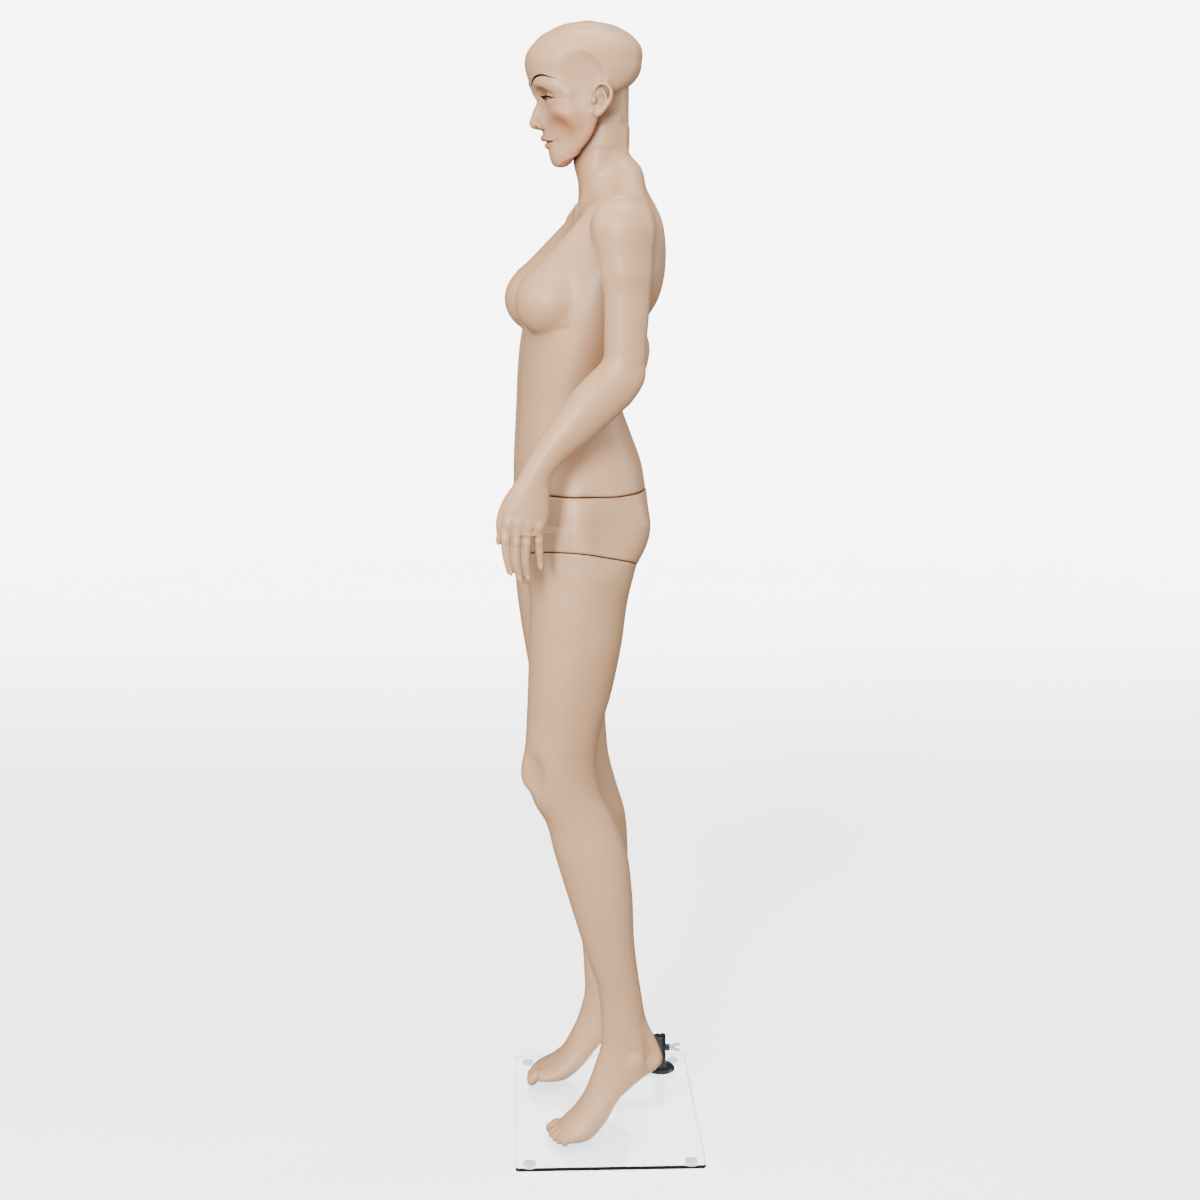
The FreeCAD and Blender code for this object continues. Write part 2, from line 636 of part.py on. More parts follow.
# ---- neck and head ------------------------------------------------------------------------
PIVOT_HUB_RADIUS = 16.0
PIVOT_FLANGE_RADIUS = 34.0
PIVOT_FLANGE = 3.0
PIVOT_PIN_RADIUS = 8.0
PIVOT_PIN_TOP = 1700.0
HEAD_PLATE_Z = 1668.0
HEAD_PLATE = 4.0
HEAD_PLATE_RADIUS = 50.0
HEAD_TUBE_RADIUS = 12.0
HEAD_TUBE = 18.0
CAP_RADIUS = 14.0
HEAD_WALL = 5.0
HEAD_STATIONS = [
    ((-85, 1550), (-26, 1598), 0, 36),
    ((-89, 1563), (-14, 1612), 0, 48),
    ((-98, 1582), (-8, 1628), 0, 58),
    ((-106, 1605), (0, 1646), 0, 66),
    ((-112, 1635), (27, 1661), 0, 72),
    ((-124, 1665), (38, 1673), 0, 76),
    ((-126.5, 1694), (43.5, 1692), 0, 76),
    ((-114, 1718), (38, 1720), 0, 67),
    ((-90, 1736), (14, 1738), 0, 49),
    ((-60, 1746), (-10, 1746), 0, 26),
    ((-43, 1749.5), (-28, 1749.5), 0, 8),
]
NOSE_STATIONS = [
    ((-112, 1642), (-100, 1640), 0, 6),
    ((-117, 1620), (-98, 1616), 0, 9),
    ((-122, 1604), (-96, 1602), 0, 13),
    ((-112, 1596), (-94, 1596), 0, 12),
]
EAR_X = 72.0
EAR_Y = -24.0
EAR_Z = 1638.0


def make_neck_pivot():
    """Plug in the top of the neck with the pin that the head turns on."""
    base = Vector(0, NECK_AXIS_Y, NECK_TOP_Z - WALL)
    flange = cylinder(PIVOT_FLANGE_RADIUS, base - Z_AXIS * PIVOT_FLANGE, base)
    hub = cylinder(PIVOT_HUB_RADIUS, base, Vector(0, NECK_AXIS_Y, HEAD_PLATE_Z - 0.4))
    pin = cylinder(PIVOT_PIN_RADIUS, base, Vector(0, NECK_AXIS_Y, PIVOT_PIN_TOP))
    save_body("neck_pivot", flange.fuse([hub, pin]))


def head_bore():
    """Room for the neck inside the head."""
    radius = NECK_RADIUS + HEAD_BORE_GAP
    low = Vector(0, NECK_AXIS_Y, 1500)
    return cylinder(radius, low, Vector(0, NECK_AXIS_Y, HEAD_PLATE_Z))


def make_head():
    """Face and skull, hollow above the plate and in the face, and open below for the neck."""
    features = [skin(NOSE_STATIONS)]
    for side in (-1, 1):
        ear = egg(0, 0, 0, 6, 15, 29)
        ear.rotate(Vector(0, 0, 0), X_AXIS, 12)
        ear.translate(Vector(side * EAR_X, EAR_Y, EAR_Z))
        features.append(ear)
    shape = hollowed(skin(HEAD_STATIONS).fuse(features), skin(HEAD_STATIONS[5:], ROUND, HEAD_WALL))
    face_hollow = egg(0, -87, 1625, 45, 17, 38)
    seat = cylinder(HEAD_PLATE_RADIUS, Vector(0, NECK_AXIS_Y, HEAD_PLATE_Z),
                    Vector(0, NECK_AXIS_Y, HEAD_PLATE_Z + HEAD_PLATE))
    tube_room = cylinder(HEAD_TUBE_RADIUS, Vector(0, NECK_AXIS_Y, HEAD_PLATE_Z),
                         Vector(0, NECK_AXIS_Y, HEAD_PLATE_Z + HEAD_TUBE))
    save_body("head_shell", shape.cut(face_hollow).cut(seat).cut(tube_room).cut(head_bore()))


def make_head_plate():
    """Round plate moulded into the head, which rests on the neck pin's hub and turns on the pin."""
    low = Vector(0, NECK_AXIS_Y, HEAD_PLATE_Z)
    high = Vector(0, NECK_AXIS_Y, HEAD_PLATE_Z + HEAD_PLATE)
    tall = Vector(0, NECK_AXIS_Y, HEAD_PLATE_Z + HEAD_TUBE)
    disc = cylinder(HEAD_PLATE_RADIUS, low, high)
    tube = cylinder(HEAD_TUBE_RADIUS, low, tall)
    bore = cylinder(PIVOT_PIN_RADIUS + RUNNING_GAP, low - Z_AXIS, tall + Z_AXIS)
    save_body("head_plate", disc.fuse(tube).cut(bore))


def make_pivot_cap():
    """Push-on cap at the top of the neck pin, which keeps the head from lifting off by accident."""
    low = Vector(0, NECK_AXIS_Y, HEAD_PLATE_Z + HEAD_TUBE + 1)
    high = Vector(0, NECK_AXIS_Y, PIVOT_PIN_TOP + 3)
    cap = cylinder(CAP_RADIUS, low, high)
    save_body("neck_pivot_cap", cap.cut(cylinder(PIVOT_PIN_RADIUS, low, Vector(0, NECK_AXIS_Y, PIVOT_PIN_TOP))))


# ---- arms ---------------------------------------------------------------------------------
ARM_STATIONS = [
    level(1462, -50, 28, 21, 172),
    level(1408, -44, 31, 24, 174),
    level(1351, -38, 28, 26, 173.5),
    level(1294, -38, 24, 26.5, 173),
    ((-39, 1268), (20, 1247), 173, 27),
    ((-46, 1257), (7, 1212), 175, 27),
    ((-64, 1242), (-17, 1188), 178, 28),
    ((-86, 1218), (-41, 1166), 181, 28),
    ((-107, 1190), (-66, 1146), 184, 26),
    ((-129, 1160), (-90, 1128), 187, 23),
    ((-148, 1132), (-108, 1112), 190, 20),
    ((-164, 1103), (-121, 1094), 193, 17),
    ((-177, 1080), (-121, 1070), 195, 15),
    ((-188, 1052), (-122, 1047), 196, 13),
    ((-188, 1028), (-127, 1024), 196, 11),
]
FINGERS = [
    # chain of (x, y, z) points from the palm to the tip, with the radius at each point
    ([(196, -180, 1032), (196, -183, 990), (192, -178, 962)], [8.5, 7.5, 6]),
    ([(196, -166, 1032), (196, -168, 985), (190, -164, 953)], [8.5, 7.5, 6]),
    ([(196, -150, 1030), (195, -152, 985), (188, -154, 953)], [8.5, 7.5, 6]),
    ([(195, -136, 1030), (194, -134, 998), (190, -134, 970)], [8, 7, 5.5]),
    ([(187, -176, 1062), (180, -190, 1030), (177, -190, 1004)], [9, 8, 6.5]),
]


def arm_form(inset):
    """Outer form of the left arm, or its hollow when inset is given."""
    low = SHOULDER_X + SEAM_GAP + inset
    radius = SHOULDER_RADIUS - inset
    dome = egg(SHOULDER_X + 2, SHOULDER_Y, SHOULDER_Z, radius, radius, radius)
    dome = dome.common(Part.makeBox(BIG, BIG, BIG, Vector(low, -BIG / 2, SHOULDER_Z - BIG / 2)))
    return skin(ARM_STATIONS, ROUND, inset).fuse(dome)


def arm_screws():
    return screw_circle(shoulder_point(SHOULDER_X + SEAM_GAP), X_AXIS, Z_AXIS, SHOULDER_SCREW_CIRCLE, 3, 12)


def posed(shape, side):
    """Left arm as it is; the right arm is its mirror image, swung back about the shoulder."""
    if side > 0:
        return shape
    copy = mirrored(shape)
    copy.rotate(shoulder_point(SHOULDER_X, side), X_AXIS, RIGHT_ARM_BACK)
    return copy


def make_arms():
    shell = arm_form(0.0)
    fingers = [bead_finger([Vector(*p) for p in chain], radii) for chain, radii in FINGERS]
    shell = hollowed(shell.fuse(fingers), arm_form(WALL))
    stud_hole = cylinder(STUD_RADIUS, shoulder_point(SHOULDER_X), shoulder_point(SHOULDER_X + 2 * WALL))
    shell = shell.cut(stud_hole).cut(Part.makeCompound(arm_screws()))
    plate_low = SHOULDER_X + SEAM_GAP + WALL
    plate = cylinder(SOCKET_RADIUS, shoulder_point(plate_low), shoulder_point(plate_low + SOCKET_PLATE))
    stud = cylinder(STUD_RADIUS, shoulder_point(SHOULDER_X - STUD_REACH), shoulder_point(plate_low + 1))
    stud_plate = plate.fuse(stud).cut(Part.makeCompound(arm_screws()))
    for name, side in (("left", 1), ("right", -1)):
        save_body(name + "_arm_shell", posed(shell, side))
        save_body(name + "_arm_stud", posed(stud_plate, side))
        save_body(name + "_arm_screws", *[posed(s, side) for s in arm_screws()])


# ---- build --------------------------------------------------------------------------------
make_glass_base()
make_pads()
make_flange()
make_gasket()
make_flange_bolt()
make_flange_washer()
make_wing_screw()
make_heel_arm()
make_heel_spigot()
make_spigot_nut()
make_hips()
make_leg("left_leg_shell", 1, LEFT_LEG_STATIONS)
make_leg("right_leg_shell", -1, RIGHT_LEG_STATIONS)
make_leg_lock("left", 1)
make_leg_lock("right", -1)
make_heel_bush()
make_waist_socket()
make_waist_peg()
make_torso()
make_shoulder_socket("left", 1)
make_shoulder_socket("right", -1)
make_neck_pivot()
make_head()
make_head_plate()
make_pivot_cap()
make_arms()
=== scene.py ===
import json
import math

import bpy
import numpy as np
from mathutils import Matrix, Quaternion, Vector


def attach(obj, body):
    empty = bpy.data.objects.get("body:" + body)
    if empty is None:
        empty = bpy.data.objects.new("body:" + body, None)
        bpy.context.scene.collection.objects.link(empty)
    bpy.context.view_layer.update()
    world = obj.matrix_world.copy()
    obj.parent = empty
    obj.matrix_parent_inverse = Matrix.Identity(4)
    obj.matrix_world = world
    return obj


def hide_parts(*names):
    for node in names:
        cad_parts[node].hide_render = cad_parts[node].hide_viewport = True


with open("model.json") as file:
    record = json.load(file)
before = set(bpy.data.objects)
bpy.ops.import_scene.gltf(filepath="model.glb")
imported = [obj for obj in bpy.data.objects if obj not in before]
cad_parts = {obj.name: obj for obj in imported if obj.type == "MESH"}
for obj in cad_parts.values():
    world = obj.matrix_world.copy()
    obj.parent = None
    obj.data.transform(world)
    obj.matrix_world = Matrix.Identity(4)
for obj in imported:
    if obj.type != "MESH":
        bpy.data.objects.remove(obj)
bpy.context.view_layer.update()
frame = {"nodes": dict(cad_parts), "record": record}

# The figure is modelled in millimetres in its own frame: it faces -Y, its left is +X, and the floor is Z = 0.
# Every form is a signed distance, negative inside, so that neighbouring forms blend into one another.
BODY_TURN = math.radians(7.0)
BODY_PIVOT_Y = -40.0
MM = 0.001

WAIST_SEAM_Z = 1061.0
SEAM_HALF_GAP = 0.45
SEAM_ROUND = 1.6
LEG_SEAM_POINT = (165.0, -54.0, 978.0)
LEG_SEAM_SLOPE = (0.27, -0.14)
NECK_RADIUS = 42.0
NECK_AXIS_Y = -15.3
NECK_TOP_Z = 1664.0
HEAD_BORE = 42.9
SHOULDER = (148.0, -10.0, 1450.0)
SHOULDER_RADIUS = 46.0
RIGHT_ARM_BACK = math.radians(21.5)
FAR_SHOULDER_BACK = 10.0
FAR_SHOULDER_RADIUS = 43.0
COARSE = 1.0


# ---- signed distance forms -----------------------------------------------------------------
def smooth_union(a, b, blend):
    if blend <= 0:
        return np.minimum(a, b)
    h = np.clip(0.5 + 0.5 * (b - a) / blend, 0.0, 1.0)
    return b + (a - b) * h - blend * h * (1.0 - h)


def turn_matrix(x_deg, y_deg, z_deg):
    """Rows are the axes of a form that is turned about X, then Y, then Z."""
    rx, ry, rz = (math.radians(a) for a in (x_deg, y_deg, z_deg))
    cx, sx = math.cos(rx), math.sin(rx)
    cy, sy = math.cos(ry), math.sin(ry)
    cz, sz = math.cos(rz), math.sin(rz)
    mx = np.array([[1, 0, 0], [0, cx, -sx], [0, sx, cx]])
    my = np.array([[cy, 0, sy], [0, 1, 0], [-sy, 0, cy]])
    mz = np.array([[cz, -sz, 0], [sz, cz, 0], [0, 0, 1]])
    return (mz @ my @ mx).T


def ball(centre, radii, turn=(0, 0, 0)):
    """Ellipsoid."""
    radii = np.broadcast_to(np.asarray(radii, float), (3,))
    axes = turn_matrix(*turn)
    reach = max(radii)
    box = [(c - reach, c + reach) for c in centre]

    def distance(x, y, z):
        p = [x - centre[0], y - centre[1], z - centre[2]]
        k0 = 0.0
        k1 = 0.0
        for axis, r in zip(axes, radii):
            q = p[0] * axis[0] + p[1] * axis[1] + p[2] * axis[2]
            k0 = k0 + (q / r) ** 2
            k1 = k1 + (q / r ** 2) ** 2
        k0 = np.sqrt(k0)
        return k0 * (k0 - 1.0) / np.sqrt(k1 + 1e-12)
    return box, distance


def rod(points, radii):
    """Chain of round tapered rods."""
    points = np.asarray(points, float)
    radii = np.broadcast_to(np.asarray(radii, float), (len(points),))
    box = [(points[:, i].min() - max(radii), points[:, i].max() + max(radii)) for i in range(3)]

    def distance(x, y, z):
        best = None
        for p, q, r, s in zip(points, points[1:], radii, radii[1:]):
            d = q - p
            t = ((x - p[0]) * d[0] + (y - p[1]) * d[1] + (z - p[2]) * d[2]) / float(d @ d)
            t = np.clip(t, 0.0, 1.0)
            gap = np.sqrt((x - p[0] - t * d[0]) ** 2 + (y - p[1] - t * d[1]) ** 2
                          + (z - p[2] - t * d[2]) ** 2)
            gap = gap - (r + t * (s - r))
            best = gap if best is None else np.minimum(best, gap)
        return best
    return box, distance


def curved(points, steps=6):
    """Points along a smooth curve through the given ones."""
    points = np.asarray(points, float)
    stretch = np.r_[0.0, np.cumsum(np.linalg.norm(np.diff(points, axis=0), axis=1))]
    return hermite(stretch, points, np.linspace(0.0, stretch[-1], steps * (len(points) - 1) + 1))


def hermite(t, values, at):
    """Smooth interpolation of rows of values at parameters t."""
    h = np.diff(t)[:, None]
    rate = np.diff(values, axis=0) / h
    slope = np.empty_like(values)
    slope[0] = rate[0]
    slope[-1] = rate[-1]
    slope[1:-1] = (rate[:-1] * h[1:] + rate[1:] * h[:-1]) / (h[1:] + h[:-1])
    i = np.clip(np.searchsorted(t, at, side="right") - 1, 0, len(t) - 2)
    s = ((at - t[i]) / (t[i + 1] - t[i]))[:, None]
    a, b, step = values[i], values[i + 1], h[i]
    return ((1 + 2 * s) * (1 - s) ** 2 * a + s * (1 - s) ** 2 * step * slope[i]
            + s * s * (3 - 2 * s) * b + s * s * (s - 1) * step * slope[i + 1])


def half_space(point, normal):
    """Everything behind a plane."""
    normal = np.asarray(normal, float) / np.linalg.norm(normal)

    def distance(x, y, z):
        return (x - point[0]) * normal[0] + (y - point[1]) * normal[1] + (z - point[2]) * normal[2]
    return None, distance


def upright(radius, x, y, low, high):
    """Vertical cylinder."""
    box = [(x - radius, x + radius), (y - radius, y + radius), (low, high)]

    def distance(px, py, pz):
        side = np.sqrt((px - x) ** 2 + (py - y) ** 2) - radius
        return np.maximum(side, np.maximum(low - pz, pz - high))
    return box, distance


def level(z, front, back, half, x=0.0, wide=0.0):
    """Horizontal section of a sweep."""
    return (front, z, back, z, x, half, wide)


def tilted(front, back, half, x=0.0, wide=0.0):
    """Section of a sweep through two points (y, z); wide moves its widest place towards the front."""
    return (front[0], front[1], back[0], back[1], x, half, wide)


def sweep(stations, power=2.0, steps=150):
    """Body through a row of sections, each in a plane that holds the X direction."""
    rows = np.asarray(stations, float)
    middles = np.c_[(rows[:, 0] + rows[:, 2]) / 2, (rows[:, 1] + rows[:, 3]) / 2]
    stretch = np.r_[0.0, np.cumsum(np.linalg.norm(np.diff(middles, axis=0), axis=1))]
    fine = hermite(stretch, rows, np.linspace(0.0, stretch[-1], steps))
    front, back = fine[:, 0:2], fine[:, 2:4]
    middle = (front + back) / 2
    arm = (front - back) / 2
    reach = np.linalg.norm(arm, axis=1)
    along = arm / reach[:, None]
    ahead = np.gradient(middle, axis=0)
    normal = np.c_[along[:, 1], -along[:, 0]]
    normal *= np.sign(np.sum(normal * ahead, axis=1))[:, None]
    box = [(np.min(fine[:, 4] - fine[:, 5]), np.max(fine[:, 4] + fine[:, 5]))]
    for i in (0, 1):
        box.append((min(front[:, i].min(), back[:, i].min()), max(front[:, i].max(), back[:, i].max())))

    def distance(x, y, z):
        yy, zz = np.broadcast_arrays(y[0, :, :], z[0, :, :])
        py = yy.ravel().astype(np.float32)[:, None]
        pz = zz.ravel().astype(np.float32)[:, None]
        ahead_of = (py - middle[:, 0]) * normal[:, 0] + (pz - middle[:, 1]) * normal[:, 1]
        offset = np.abs((py - middle[:, 0]) * along[:, 0] + (pz - middle[:, 1]) * along[:, 1]) / reach
        crossing = (ahead_of[:, :-1] >= 0) & (ahead_of[:, 1:] < 0)
        cost = np.where(crossing, offset[:, :-1], np.inf)
        j = np.argmin(cost, axis=1)
        found = np.isfinite(np.min(cost, axis=1))
        row = np.arange(len(j))
        before = (~found) & (ahead_of[:, 0] < 0)
        after = (~found) & ~before
        j = np.where(after, steps - 2, np.where(before, 0, j))
        g0, g1 = ahead_of[row, j], ahead_of[row, j + 1]
        t = np.clip(g0 / (g0 - g1 + 1e-9), 0.0, 1.0)[:, None]
        at = fine[j] * (1 - t) + fine[j + 1] * t
        mid = np.c_[(at[:, 0] + at[:, 2]) / 2, (at[:, 1] + at[:, 3]) / 2]
        arm_at = np.c_[(at[:, 0] - at[:, 2]) / 2, (at[:, 1] - at[:, 3]) / 2]
        reach_at = np.linalg.norm(arm_at, axis=1)
        e = ((py[:, 0] - mid[:, 0]) * arm_at[:, 0] + (pz[:, 0] - mid[:, 1]) * arm_at[:, 1]) / reach_at ** 2
        wide = at[:, 6]
        v = np.where(e > wide, (e - wide) / (1 - wide), (wide - e) / (1 + wide))
        past = np.where(before, -ahead_of[:, 0], np.where(after, ahead_of[:, -1], -1e3))
        shape = yy.shape
        v = v.reshape(shape)[None].astype(np.float32)
        lift = ((e - wide) * reach_at).reshape(shape)[None].astype(np.float32)
        centre = at[:, 4].reshape(shape)[None].astype(np.float32)
        half = at[:, 5].reshape(shape)[None].astype(np.float32)
        past = past.reshape(shape)[None].astype(np.float32)
        across = x - centre
        u = np.abs(across) / half
        if power == 2.0:
            rho = np.sqrt(u * u + v * v)
        else:
            rho = (u ** power + np.abs(v) ** power) ** (1.0 / power)
        radius = np.sqrt(across * across + lift * lift)
        inside = np.maximum(radius * (1.0 - 1.0 / np.maximum(rho, 0.05)), -half)
        return np.maximum(inside, past)
    return box, distance


class Block:
    """Box of samples of one piece's signed distance."""

    def __init__(self, low, high, voxel):
        self.voxel = voxel * COARSE
        pad = 3 * self.voxel
        self.axes = [np.arange(a - pad, b + pad + self.voxel, self.voxel, dtype=np.float32)
                     for a, b in zip(low, high)]
        self.field = np.full([len(a) for a in self.axes], 1000.0, np.float32)

    def window(self, box, margin):
        if box is None:
            return tuple(slice(0, len(a)) for a in self.axes)
        spans = []
        for (low, high), axis in zip(box, self.axes):
            start = int(np.searchsorted(axis, low - margin))
            stop = int(np.searchsorted(axis, high + margin))
            spans.append(slice(start, max(stop, start)))
        return tuple(spans)

    def sample(self, form, margin):
        box, distance = form
        window = self.window(box, margin)
        if any(s.stop <= s.start for s in window):
            return None, None
        x = self.axes[0][window[0]][:, None, None]
        y = self.axes[1][window[1]][None, :, None]
        z = self.axes[2][window[2]][None, None, :]
        return window, np.asarray(distance(x, y, z), np.float32)

    def add(self, form, blend=0.0):
        window, d = self.sample(form, blend + 12.0)
        if window:
            self.field[window] = smooth_union(self.field[window], d, blend)

    def cut(self, form, blend=0.0):
        window, d = self.sample(form, blend + 12.0)
        if window:
            self.field[window] = -smooth_union(-self.field[window], d, blend)

    def keep(self, form, blend=0.0):
        """Keep only what is also inside the form."""
        _, d = self.sample((None, form[1]), 0.0)
        self.field = -smooth_union(-self.field, -d, blend)

    def fresh(self):
        """Empty block on the same samples."""
        other = Block.__new__(Block)
        other.voxel = self.voxel
        other.axes = self.axes
        other.field = np.full(self.field.shape, 1000.0, np.float32)
        return other

    def merge(self, other, blend):
        self.field = smooth_union(self.field, other.field, blend)

    def value(self, points):
        """Field at points between the samples."""
        f = self.field
        low = np.array([a[0] for a in self.axes])
        p = (points - low) / self.voxel
        i = np.clip(p.astype(int), 0, np.array(f.shape) - 2)
        t = p - i
        total = 0.0
        for dx in (0, 1):
            for dy in (0, 1):
                for dz in (0, 1):
                    weight = ((t[:, 0] if dx else 1 - t[:, 0]) * (t[:, 1] if dy else 1 - t[:, 1])
                              * (t[:, 2] if dz else 1 - t[:, 2]))
                    total = total + weight * f[i[:, 0] + dx, i[:, 1] + dy, i[:, 2] + dz]
        return total

    def slope(self, points):
        h = self.voxel * 0.6
        steps = np.eye(3) * h
        return np.stack([(self.value(points + s) - self.value(points - s)) / (2 * h) for s in steps], axis=1)

    def settle(self, points, rounds=2):
        """Move points onto the surface."""
        limit = self.voxel
        for _ in range(rounds):
            g = self.slope(points)
            step = self.value(points)[:, None] * g / np.maximum(np.sum(g * g, axis=1), 0.05)[:, None]
            points = points - np.clip(step, -limit, limit)
        return points

    def surface(self, relax=3):
        """Quads of the surface: one point in each cell that it crosses, evened out along the surface."""
        f = self.field
        inside = f < 0
        count = np.zeros([n - 1 for n in f.shape], np.int8)
        corners = [(a, b, c) for a in (0, 1) for b in (0, 1) for c in (0, 1)]
        nx, ny, nz = count.shape
        for a, b, c in corners:
            count += inside[a:a + nx, b:b + ny, c:c + nz]
        cells = np.argwhere((count > 0) & (count < 8))
        number = np.full(count.shape, -1, np.int32)
        number[tuple(cells.T)] = np.arange(len(cells))
        values = np.stack([f[cells[:, 0] + a, cells[:, 1] + b, cells[:, 2] + c]
                           for a, b, c in corners], axis=1)
        spots = np.array(corners, float)
        total = np.zeros((len(cells), 3))
        hits = np.zeros(len(cells))
        for i in range(8):
            for j in range(i + 1, 8):
                if np.abs(spots[i] - spots[j]).sum() != 1:
                    continue
                a, b = values[:, i], values[:, j]
                crossed = (a < 0) != (b < 0)
                t = np.where(crossed, a / np.where(crossed, a - b, 1.0), 0.0)
                total += np.where(crossed[:, None], spots[i] + t[:, None] * (spots[j] - spots[i]), 0.0)
                hits += crossed
        low = np.array([a[0] for a in self.axes])
        points = (cells + total / hits[:, None]) * self.voxel + low
        quads = []
        for axis in range(3):
            first = [slice(None)] * 3
            second = [slice(None)] * 3
            first[axis] = slice(0, -1)
            second[axis] = slice(1, None)
            change = inside[tuple(first)] != inside[tuple(second)]
            b, c = (axis + 1) % 3, (axis + 2) % 3
            rim = [slice(None)] * 3
            rim[b] = slice(1, -1)
            rim[c] = slice(1, -1)
            edge = np.argwhere(change[tuple(rim)])
            edge[:, b] += 1
            edge[:, c] += 1
            ring = []
            for db, dc in ((-1, -1), (0, -1), (0, 0), (-1, 0)):
                cell = edge.copy()
                cell[:, b] += db
                cell[:, c] += dc
                ring.append(number[tuple(cell.T)])
            ring = np.stack(ring, axis=1)
            leaving = inside[tuple(edge.T)]
            ring[~leaving] = ring[~leaving][:, ::-1]
            quads.append(ring)
        quads = np.concatenate(quads)
        points = self.settle(points, 1)
        near = np.concatenate([quads[:, [0, 1]], quads[:, [1, 2]], quads[:, [2, 3]], quads[:, [3, 0]]])
        for _ in range(relax):
            total = np.zeros_like(points)
            for k in range(3):
                total[:, k] = (np.bincount(near[:, 0], points[near[:, 1], k], len(points))
                               + np.bincount(near[:, 1], points[near[:, 0], k], len(points)))
            degree = np.bincount(near.ravel(), minlength=len(points))
            points = 0.5 * points + 0.5 * total / degree[:, None]
            points = self.settle(points, 1)
        return self.settle(points, 1), quads


# ---- meshes --------------------------------------------------------------------------------
def placed(points):
    """From the figure's own frame to its place on the glass plate, in metres."""
    c, s = math.cos(BODY_TURN), math.sin(BODY_TURN)
    x, y, z = points[:, 0], points[:, 1] - BODY_PIVOT_Y, points[:, 2]
    return np.stack([c * x - s * y, s * x + c * y + BODY_PIVOT_Y, z], axis=1) * MM


def make_mesh(name, points, quads):
    mesh = bpy.data.meshes.new(name)
    mesh.vertices.add(len(points))
    mesh.vertices.foreach_set("co", np.asarray(points, np.float32).ravel())
    mesh.loops.add(quads.size)
    mesh.loops.foreach_set("vertex_index", quads.astype(np.int32).ravel())
    mesh.polygons.add(len(quads))
    mesh.polygons.foreach_set("loop_start", np.arange(0, quads.size, quads.shape[1], dtype=np.int32))
    mesh.update(calc_edges=True)
    mesh.validate()
    mesh.shade_smooth()
    piece = bpy.data.objects.new(name, mesh)
    bpy.context.scene.collection.objects.link(piece)
    return piece


def finish_piece(piece, body, nodes, material):
    piece.data.materials.append(material)
    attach(piece, body)
    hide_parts(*nodes)
    return piece


def body_piece(name, block, body, nodes, material):
    points, quads = block.surface()
    return finish_piece(make_mesh(name, placed(points), quads), body, nodes, material)


# ---- hips and legs -------------------------------------------------------------------------
HIP = [
    level(1085, -147, 47, 146), level(1060.6, -147, 53, 152), level(1035, -145, 55, 160),
    level(1000, -142, 55, 165.5), level(970, -139, 45, 166), level(940, -137, 26, 164),
    level(912, -134, 6, 158),
]
LEFT_LEG = [
    level(1010, -138, 40, 76, 86), level(945, -137, 27, 80, 84), level(900, -135.5, 16, 77.5, 85.5, 0.1),
    level(825, -137, 5, 71, 89, 0.1), level(750, -140, -11, 62, 93, 0.1), level(690, -143, -28, 56, 95),
    level(640, -146, -34, 51, 96), level(595, -142, -27, 48, 97), level(545, -113, -4, 47, 98),
    level(495, -100, 14, 51, 99, -0.1), level(430, -81, 23, 50, 100, -0.2),
    level(340, -54, 28, 39, 101, -0.2), level(260, -29, 39, 31, 102, -0.1), level(205, -24, 50, 28, 102),
    tilted((-25, 165), (70, 160), 28, 102), tilted((-36, 128), (75, 134), 30, 102),
    tilted((-49, 93), (44, 112), 31, 102), tilted((-62, 68), (8, 82), 34, 102),
    tilted((-75, 52), (-16, 42), 38, 102), tilted((-86, 41), (-44, 14), 40, 102),
    tilted((-93, 33), (-70, 11), 36, 102), tilted((-97, 27), (-84, 12), 31, 101),
]
RIGHT_LEG = [
    level(1010, -138, 40, 76, -86), level(945, -137, 27, 80, -84), level(900, -136, 18, 77.5, -86.5, 0.1),
    level(825, -127, 9, 71, -91, 0.1), level(750, -114, 9, 62, -96, 0.1), level(690, -104, 12, 56, -99),
    level(640, -100, 15, 51, -101), level(595, -93, 20, 48, -103), level(545, -76, 33, 47, -104),
    level(495, -65, 48, 51, -105, -0.1), level(430, -50, 54, 50, -106, -0.2),
    level(340, -32, 53, 39, -108, -0.2), level(260, -22, 48, 31, -109, -0.1), level(205, -18, 52, 28, -110),
    tilted((-18, 160), (64, 152), 28, -110), tilted((-29, 120), (70, 126), 30, -110),
    tilted((-44, 87), (38, 102), 31, -110), tilted((-58, 63), (6, 70), 34, -110),
    tilted((-74, 50), (-22, 37), 38, -110), tilted((-91, 42), (-52, 16), 40, -110),
    tilted((-101, 35), (-80, 15), 36, -110), tilted((-106, 30), (-94, 16), 31, -109),
]
# The five toes: distance from the middle of the foot towards the big toe, reach ahead of the ball,
# and radius.
TOES = [(21.0, -12.0, 9.4), (5.0, -12.0, 7.4), (-7.5, -9.0, 7.0), (-18.5, -4.0, 6.6), (-28.0, 3.0, 6.3)]


def add_foot(block, side, x, ball_y, lift):
    """Toes and toe nails of one foot."""
    for shift, ahead, radius in TOES:
        toe_x = x - side * shift
        root = (toe_x + side * shift * 0.06, ball_y + ahead + 27, 23 + lift)
        knuckle = (toe_x, ball_y + ahead + 9, 24 + lift * 0.7 + radius * 0.2)
        tip = (toe_x - side * shift * 0.05, ball_y + ahead, 15 + lift * 0.3 + radius * 0.3)
        block.add(rod([root, knuckle, tip], [radius * 0.9, radius * 0.96, radius * 0.86]), 3)
    for shift, ahead, radius in TOES:
        nail = (x - side * shift, ball_y + ahead - radius * 0.38, 16 + lift * 0.3 + radius * 0.98)
        block.add(ball(nail, (radius * 0.55, radius * 0.62, radius * 0.2), (30, 0, 0)), 1.5)


